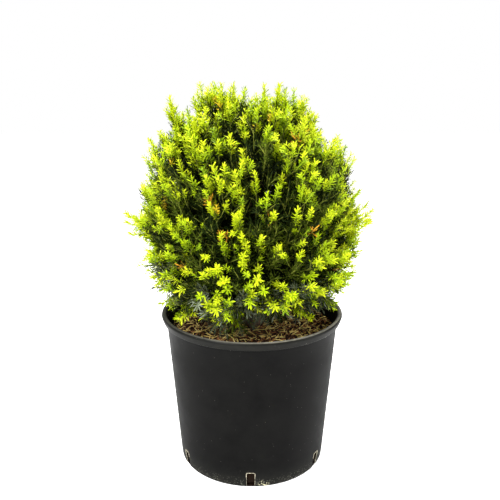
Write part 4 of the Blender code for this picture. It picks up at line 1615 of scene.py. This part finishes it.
# how many shorter shoots stand beside a new one, to choose from
TOP_CROWD = (3, 3, 4)
SIDE_CROWD = (0, 1, 1, 2)
TUFT_CROWD = (0, 1)
STEEP_CROWD = (1,)
LEADING_CROWD = (4,)
feet = {name: [] for name in DIRECTIONS}


def lift_at(arm):
    """How far a shoot turns up, against how far it points out."""
    return 1.25 + 1.35 * arm.z + dice.uniform(-0.4, 0.4)


def placed(rows, strength, crowd):
    """Leaders from (azimuth, rise, out, lift) rows, each with the tufts that crowd it."""
    for azimuth, rise, out, lift in rows:
        angle = math.radians(azimuth)
        arm = Vector((math.cos(angle) * out, math.sin(angle) * out, rise))
        yield CROWN_CENTRE + arm, arm.normalized(), lift, strength, crowd


def spiral_leaders():
    """Leaders spread over the crown, set back in the gaps between clumps."""
    for arm in spread_headings(LEADER_COUNT, LEADER_SHAKE, dice):
        if arm.z < LOWEST_LEADER:
            continue
        gap = CLUMP_DEPTH * smooth(-clump(arm), 0.0, 0.4)
        reach = crown_distance(arm) * (1.0 - gap + between(UNEVEN)) - NEEDLE_OVERHANG
        crowd = TOP_CROWD if arm.z > TOP_SLOPE else SIDE_CROWD
        yield CROWN_CENTRE + arm * reach, arm, lift_at(arm), vigour(arm), crowd


def tufts():
    for azimuth, slope in TUFTS:
        arm = towards(azimuth, slope)
        reach = crown_distance(arm) - NEEDLE_OVERHANG
        yield CROWN_CENTRE + arm * reach, arm, lift_at(arm), 1.0, TUFT_CROWD


starts = list(spiral_leaders())
starts += placed(STEEP_SHOOTS, FULL_SUN, STEEP_CROWD)
starts += placed(LEADING_SHOOTS, FULL_SUN, LEADING_CROWD)
starts += placed(HANGING_SHOOTS, 0.0, (0,))
starts += tufts()
for number, start in enumerate(starts):
    dice.seed(SEED * SEEDS_APART + number)
    foot = grow_leader(*start)
    if foot:
        mass = max(DIRECTIONS, key=lambda name: DIRECTIONS[name].dot(start[1]))
        feet[mass].append(foot)
print(sum(map(len, feet.values())), "leaders,", len(twigs), "twigs and", len(young_stems), "shoots")

# %% [markdown]
# From each leader's foot the wood has to come back to the bough of its own mass. Straight
# sticks from the bough would look like a hedgehog, so the feet are split in two halves again
# and again, and every split becomes a fork, as on a plant that has branched year by year.

# %% Fork the wood back to the boughs
FORK_SHARE = 0.42
FORK_SPLIT = (0.4, 0.6)
FORK_WANDER = 0.002
FORK_STEPS = 4
BRANCH_POWER = 0.262  # how a branch thickens with the leaders that it carries
branches = []


def branch_radius(leaders):
    return LEADER_RADIUS * leaders**BRANCH_POWER


def fork_out(start, heading, ends):
    """Carries a branch on from start to the feet of its leaders, forking in two each time."""
    if len(ends) == 1:
        path = bent(start, heading, *ends[0], FORK_STEPS)
        branches.append(tapered(path, LEADER_RADIUS, LEADER_RADIUS))
        return
    middle = sum((foot for foot, _ in ends), Vector()) / len(ends)
    fork = start.lerp(middle, FORK_SHARE) + wander(FORK_WANDER)
    way = (middle - start).normalized()
    path = bent(start, heading, fork, way, FORK_STEPS)
    branches.append(tapered(path, branch_radius(len(ends)), branch_radius(len(ends) / 2)))
    furthest = max(ends, key=lambda end: (end[0] - middle).length)[0]
    axis = (furthest - middle).normalized()
    ordered = sorted(ends, key=lambda end: (end[0] - middle).dot(axis))
    half = max(1, round(len(ordered) * between(FORK_SPLIT)))
    fork_out(fork, way, ordered[:half])
    fork_out(fork, way, ordered[half:])


for name, direction in DIRECTIONS.items():
    fork_out(stem_start(direction), direction, feet[name])
print(len(branches), "branches")

# %% [markdown]
# ## Wood of the twigs
#
# The inner branches are brown, the last few years' twigs stay green, and the newest stems
# are pale, which is why thin yellow-green lines fan up through the darker parts of a yew. All
# three are swept by the same small tree. Three to five sides are enough, because they are
# about a millimetre thick or less.


# %% Sweep the branches and twigs
def twig_tree():
    """Sweeps a ring along every chain, as thick as the chain says."""
    tree, given, result = geometry_tree(
        "wood_of_twigs", [("Chains", "geometry", None), ("Sides", "int", 5)]
    )
    paths = thick(tree, lines(tree, given.outputs["Chains"]))
    skin = swept(tree, paths, circle(tree, given.outputs["Sides"]))
    return finish_tree(tree, given, skin, result)


TWIG_TREE = twig_tree()
TWIG_STRETCH = (1.0, 1.0, 0.5)

# darker tone, lighter tone, size of the patches
BROWN = ((0.035, 0.018, 0.010), (0.14, 0.085, 0.050), 0.005)
GREEN = ((0.10, 0.115, 0.016), (0.30, 0.33, 0.045), 0.012)
PALE_GREEN = ((0.34, 0.46, 0.020), (0.50, 0.60, 0.030), 0.010)

for name, chains, sides, finish, look, specular in (
    ("brown_branches", branches, 5, "brown_twig_bark", BROWN, 0.3),
    ("green_twigs", twigs, 4, "green_twig_bark", GREEN, 0.15),
    ("young_stems", young_stems, 3, "young_stem_skin", PALE_GREEN, 0.15),
):
    skin = bark_material(finish, *look, TWIG_STRETCH, specular)
    start = plain_object("chains", chain_mesh("chains", chains))
    wood = run_tree(name, start, TWIG_TREE, {"Sides": sides, "Material": skin})
    wood.data.shade_smooth()
    keep(wood, "bark", *MASSES)

# %% [markdown]
# ## Needles
#
# A yew needle is a flat narrow blade, pointed at the end. Young ones are soft and under a
# centimetre long. Old ones are longer, bent back a little more and leathery. At this size
# three triangles show the blade, its widest place and its point, while a fold or a raised
# midrib would only add faces.
#
# They stand round a shoot in a spiral, turning by the golden angle from one to the next.
# At the foot they lean far out, and towards the tip they close into a brush. All of that is
# one node tree: it walks along every shoot in even steps, and turns and sizes a needle at
# each step. A curve over the shoot's length keeps the lowest needles shorter, and each chain
# carries a size of its own, by which a part of it can be left bare.


# %% The two needle shapes
def blade_mesh(name, length, stations, arch):
    """A needle along +Z, bent back by the arch; stations are (share of length, half width)."""
    shape = bmesh.new()

    def vert(across, share):
        return shape.verts.new((across, arch * share**2 * length, share * length))

    rows = [(vert(-wide, share), vert(wide, share)) for share, wide in stations]
    for lower, upper in zip(rows, rows[1:]):
        shape.faces.new((lower[0], lower[1], upper[1], upper[0]))
    shape.faces.new((*rows[-1], vert(0.0, 1.0)))
    bmesh.ops.triangulate(shape, faces=shape.faces)
    return as_mesh(shape, name)


young_needle = blade_mesh("young_needle", 0.0098, ((0.0, 0.00040), (0.70, 0.00088)), 0.03)
old_needle = blade_mesh("old_needle", 0.0140, ((0.0, 0.00045), (0.78, 0.00080)), 0.10)
print("faces:", len(young_needle.polygons), "on a young needle,", len(old_needle.polygons), "on an old")


# %% One tree sets needles along every shoot
GOLDEN_ANGLE = math.radians(137.5)
SPIN_SHAKE = 0.5
SIZE_SPREAD = (0.8, 1.15)
BARE = 0.3  # no needle where a chain's own size is below this
GROWN_FROM, GROWN_TO = 0.22, 0.70  # needles have their full size between these shares
SIZE_AT_FOOT = 0.62


def turn_by(tree, rotation, axis, angle):
    """A rotation turned on about one of its own axes."""
    inputs = [("Axis", axis), ("Angle", angle)]
    extra = add(tree, "FunctionNodeAxisAngleToRotation", inputs).outputs[0]
    inputs = [("Rotation", rotation), ("Rotate By", extra)]
    return add(tree, "FunctionNodeRotateRotation", inputs, rotation_space="LOCAL").outputs[0]


def needle_turn(tree, given, factor):
    """Along the shoot, round by the golden angle, leaning out, and spun a little."""
    seed, spread = given.outputs["Seed"], given.outputs["Lean spread"]
    tangent = tree.nodes.new("GeometryNodeInputTangent").outputs[0]
    index = tree.nodes.new("GeometryNodeInputIndex").outputs[0]
    along = add(tree, "FunctionNodeAlignRotationToVector", [("Vector", tangent)], axis="Z")
    jitter = random_value(tree, -SPIN_SHAKE, SPIN_SHAKE, seed, 1)
    around = maths(tree, "ADD", times(tree, index, GOLDEN_ANGLE), jitter)
    spun = turn_by(tree, along.outputs[0], UP, around)
    at_foot, at_tip = given.outputs["Lean at foot"], given.outputs["Lean at tip"]
    shaken = random_value(tree, times(tree, spread, -1.0), spread, seed, 2)
    lean = maths(tree, "ADD", ramp(tree, factor, start=at_foot, end=at_tip), shaken)
    leaning = turn_by(tree, spun, (1.0, 0.0, 0.0), lean)
    return turn_by(tree, leaning, UP, random_value(tree, -SPIN_SHAKE, SPIN_SHAKE, seed, 3))


def needle_length(tree, given, factor, own):
    """Shorter at the foot and the tip of a shoot, times the chain's own size and a spread."""
    curve = add(tree, "ShaderNodeFloatCurve", [("Value", factor)])
    points = curve.mapping.curves[0].points
    points[0].location = (0.0, SIZE_AT_FOOT)
    points[1].location = (1.0, 0.0)
    points.new(GROWN_FROM, 1.0)
    points.new(GROWN_TO, 1.0)
    curve.mapping.update()
    shape = ramp(tree, curve.outputs[0], start=given.outputs["Size at tip"])
    spread = random_value(tree, *SIZE_SPREAD, given.outputs["Seed"], 4)
    return times(tree, shape, own, spread)


def needle_tree():
    """Walks along every shoot and sets a needle at each step."""
    tree, given, result = geometry_tree(
        "needles_along_shoots",
        [
            ("Shoots", "geometry", None),
            ("Needle", "object", None),
            ("Spacing", "float", 0.001),
            ("Lean at foot", "float", 1.0),
            ("Lean at tip", "float", 0.4),
            ("Lean spread", "float", 0.2),
            ("Size at tip", "float", 0.5),
            ("Seed", "int", 1),
        ],
    )
    steps = lines(tree, given.outputs["Shoots"], given.outputs["Spacing"])
    factor = tree.nodes.new("GeometryNodeSplineParameter").outputs["Factor"]
    own = named(tree, "needle_size")
    needle = add(tree, "GeometryNodeObjectInfo", [("Object", given.outputs["Needle"])])
    size = ("Scale", needle_length(tree, given, factor, own))
    chosen = ("Selection", maths(tree, "GREATER_THAN", own, BARE))
    turn = needle_turn(tree, given, factor)
    needles = copies(tree, steps, needle.outputs["Geometry"], turn, size, chosen)
    return finish_tree(tree, given, needles, result)


NEEDLE_TREE = needle_tree()
print("inputs:", ", ".join(item.name for item in NEEDLE_TREE.interface.items_tree))

# %% [markdown]
# The tints have places: yellow-green on the newest shoots, deeper greens on soft shoots in
# the shade, near black-green on the old needles, and painted shade, near black, on those deep
# inside the crown. Those that hang low have a slate bloom with pale sprays among them, and
# both tints are partly painted highlights. A few golden or rusty sprays are those that the
# sun or the shears have caught. A whole spray has one tint, so each tint is a piece of its
# own, and its material only adds a slight mottle.

# %% Tints of the needles
# name, tint, darker tone, lighter tone, roughness from and to
NEW_TINTS = (
    ("lime_needles", "lime", (0.20, 0.30, 0.002), (0.82, 0.88, 0.018), (0.45, 0.60)),
    ("fresh_needles", "fresh", (0.11, 0.21, 0.001), (0.62, 0.77, 0.007), (0.45, 0.60)),
    ("leaf_needles", "leaf", (0.05, 0.11, 0.002), (0.30, 0.44, 0.006), (0.40, 0.55)),
    ("golden_needles", "gold", (0.52, 0.35, 0.010), (0.74, 0.52, 0.025), (0.45, 0.60)),
)
OLD_TINTS = (
    # painted shade: near-black needles deep inside the crown
    ("shaded_needles", "shade", (0.002, 0.004, 0.001), (0.008, 0.014, 0.002), (0.50, 0.70)),
    ("deep_green_needles", "deep", (0.002, 0.004, 0.001), (0.020, 0.036, 0.003), (0.45, 0.65)),
    ("olive_needles", "mid", (0.006, 0.011, 0.001), (0.096, 0.134, 0.009), (0.45, 0.65)),
    # slate and pale: partly a real bloom and pale undersides, partly painted highlights
    ("slate_needles", "slate", (0.013, 0.020, 0.009), (0.120, 0.140, 0.082), (0.35, 0.5)),
    ("pale_needles", "pale", (0.10, 0.13, 0.075), (0.34, 0.38, 0.27), (0.35, 0.5)),
    ("rusty_needles", "rust", (0.28, 0.12, 0.006), (0.70, 0.36, 0.030), (0.55, 0.75)),
)
NEW_HABIT = {
    "Spacing": 0.00050,
    "Lean at foot": 1.15,
    "Lean at tip": 0.80,
    "Lean spread": 0.40,
    "Size at tip": 0.96,
}
OLD_HABIT = {
    "Spacing": 0.0016,
    "Lean at foot": 1.00,
    "Lean at tip": 0.55,
    "Lean spread": 0.30,
    "Size at tip": 0.70,
}


def set_needles(tints, sprays, blade, habit, patch, specular, first_seed):
    """A piece of needles for every tint of the sprays."""
    for number, (name, tint, dark, light, rough) in enumerate(tints):
        finish, tree, shader = new_material(name, specular)
        mottled(tree, shader, dark, light, patch, rough)
        needle = plain_object("needle", blade.copy())
        start = plain_object("shoots", chain_mesh("shoots", sprays[tint]))
        values = {"Needle": needle, "Seed": first_seed + number * 10, "Material": finish, **habit}
        piece = run_tree(name, start, NEEDLE_TREE, values)
        bpy.data.objects.remove(needle)
        keep(piece, "yew_needles", *MASSES)


set_needles(NEW_TINTS, new_sprays, young_needle, NEW_HABIT, 0.0022, 0.10, 100)
set_needles(OLD_TINTS, old_sprays, old_needle, OLD_HABIT, 0.003, 0.05, 200)

# %% [markdown]
# ## Last checks
#
# The script prints how far the box of everything that shows reaches past the plain model's
# box on each axis, so that any change in the plant's size shows. The looks may not change
# the size of the plant.

# %% Print how the two boxes differ, and finish
shown_box = [list(corner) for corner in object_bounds()]
for axis, label in enumerate("XYZ"):
    under = (model_box[0][axis] - shown_box[0][axis]) * 1000
    over = (shown_box[1][axis] - model_box[1][axis]) * 1000
    print(f"{label}: {under:.1f} mm below the plain model and {over:.1f} mm above it")
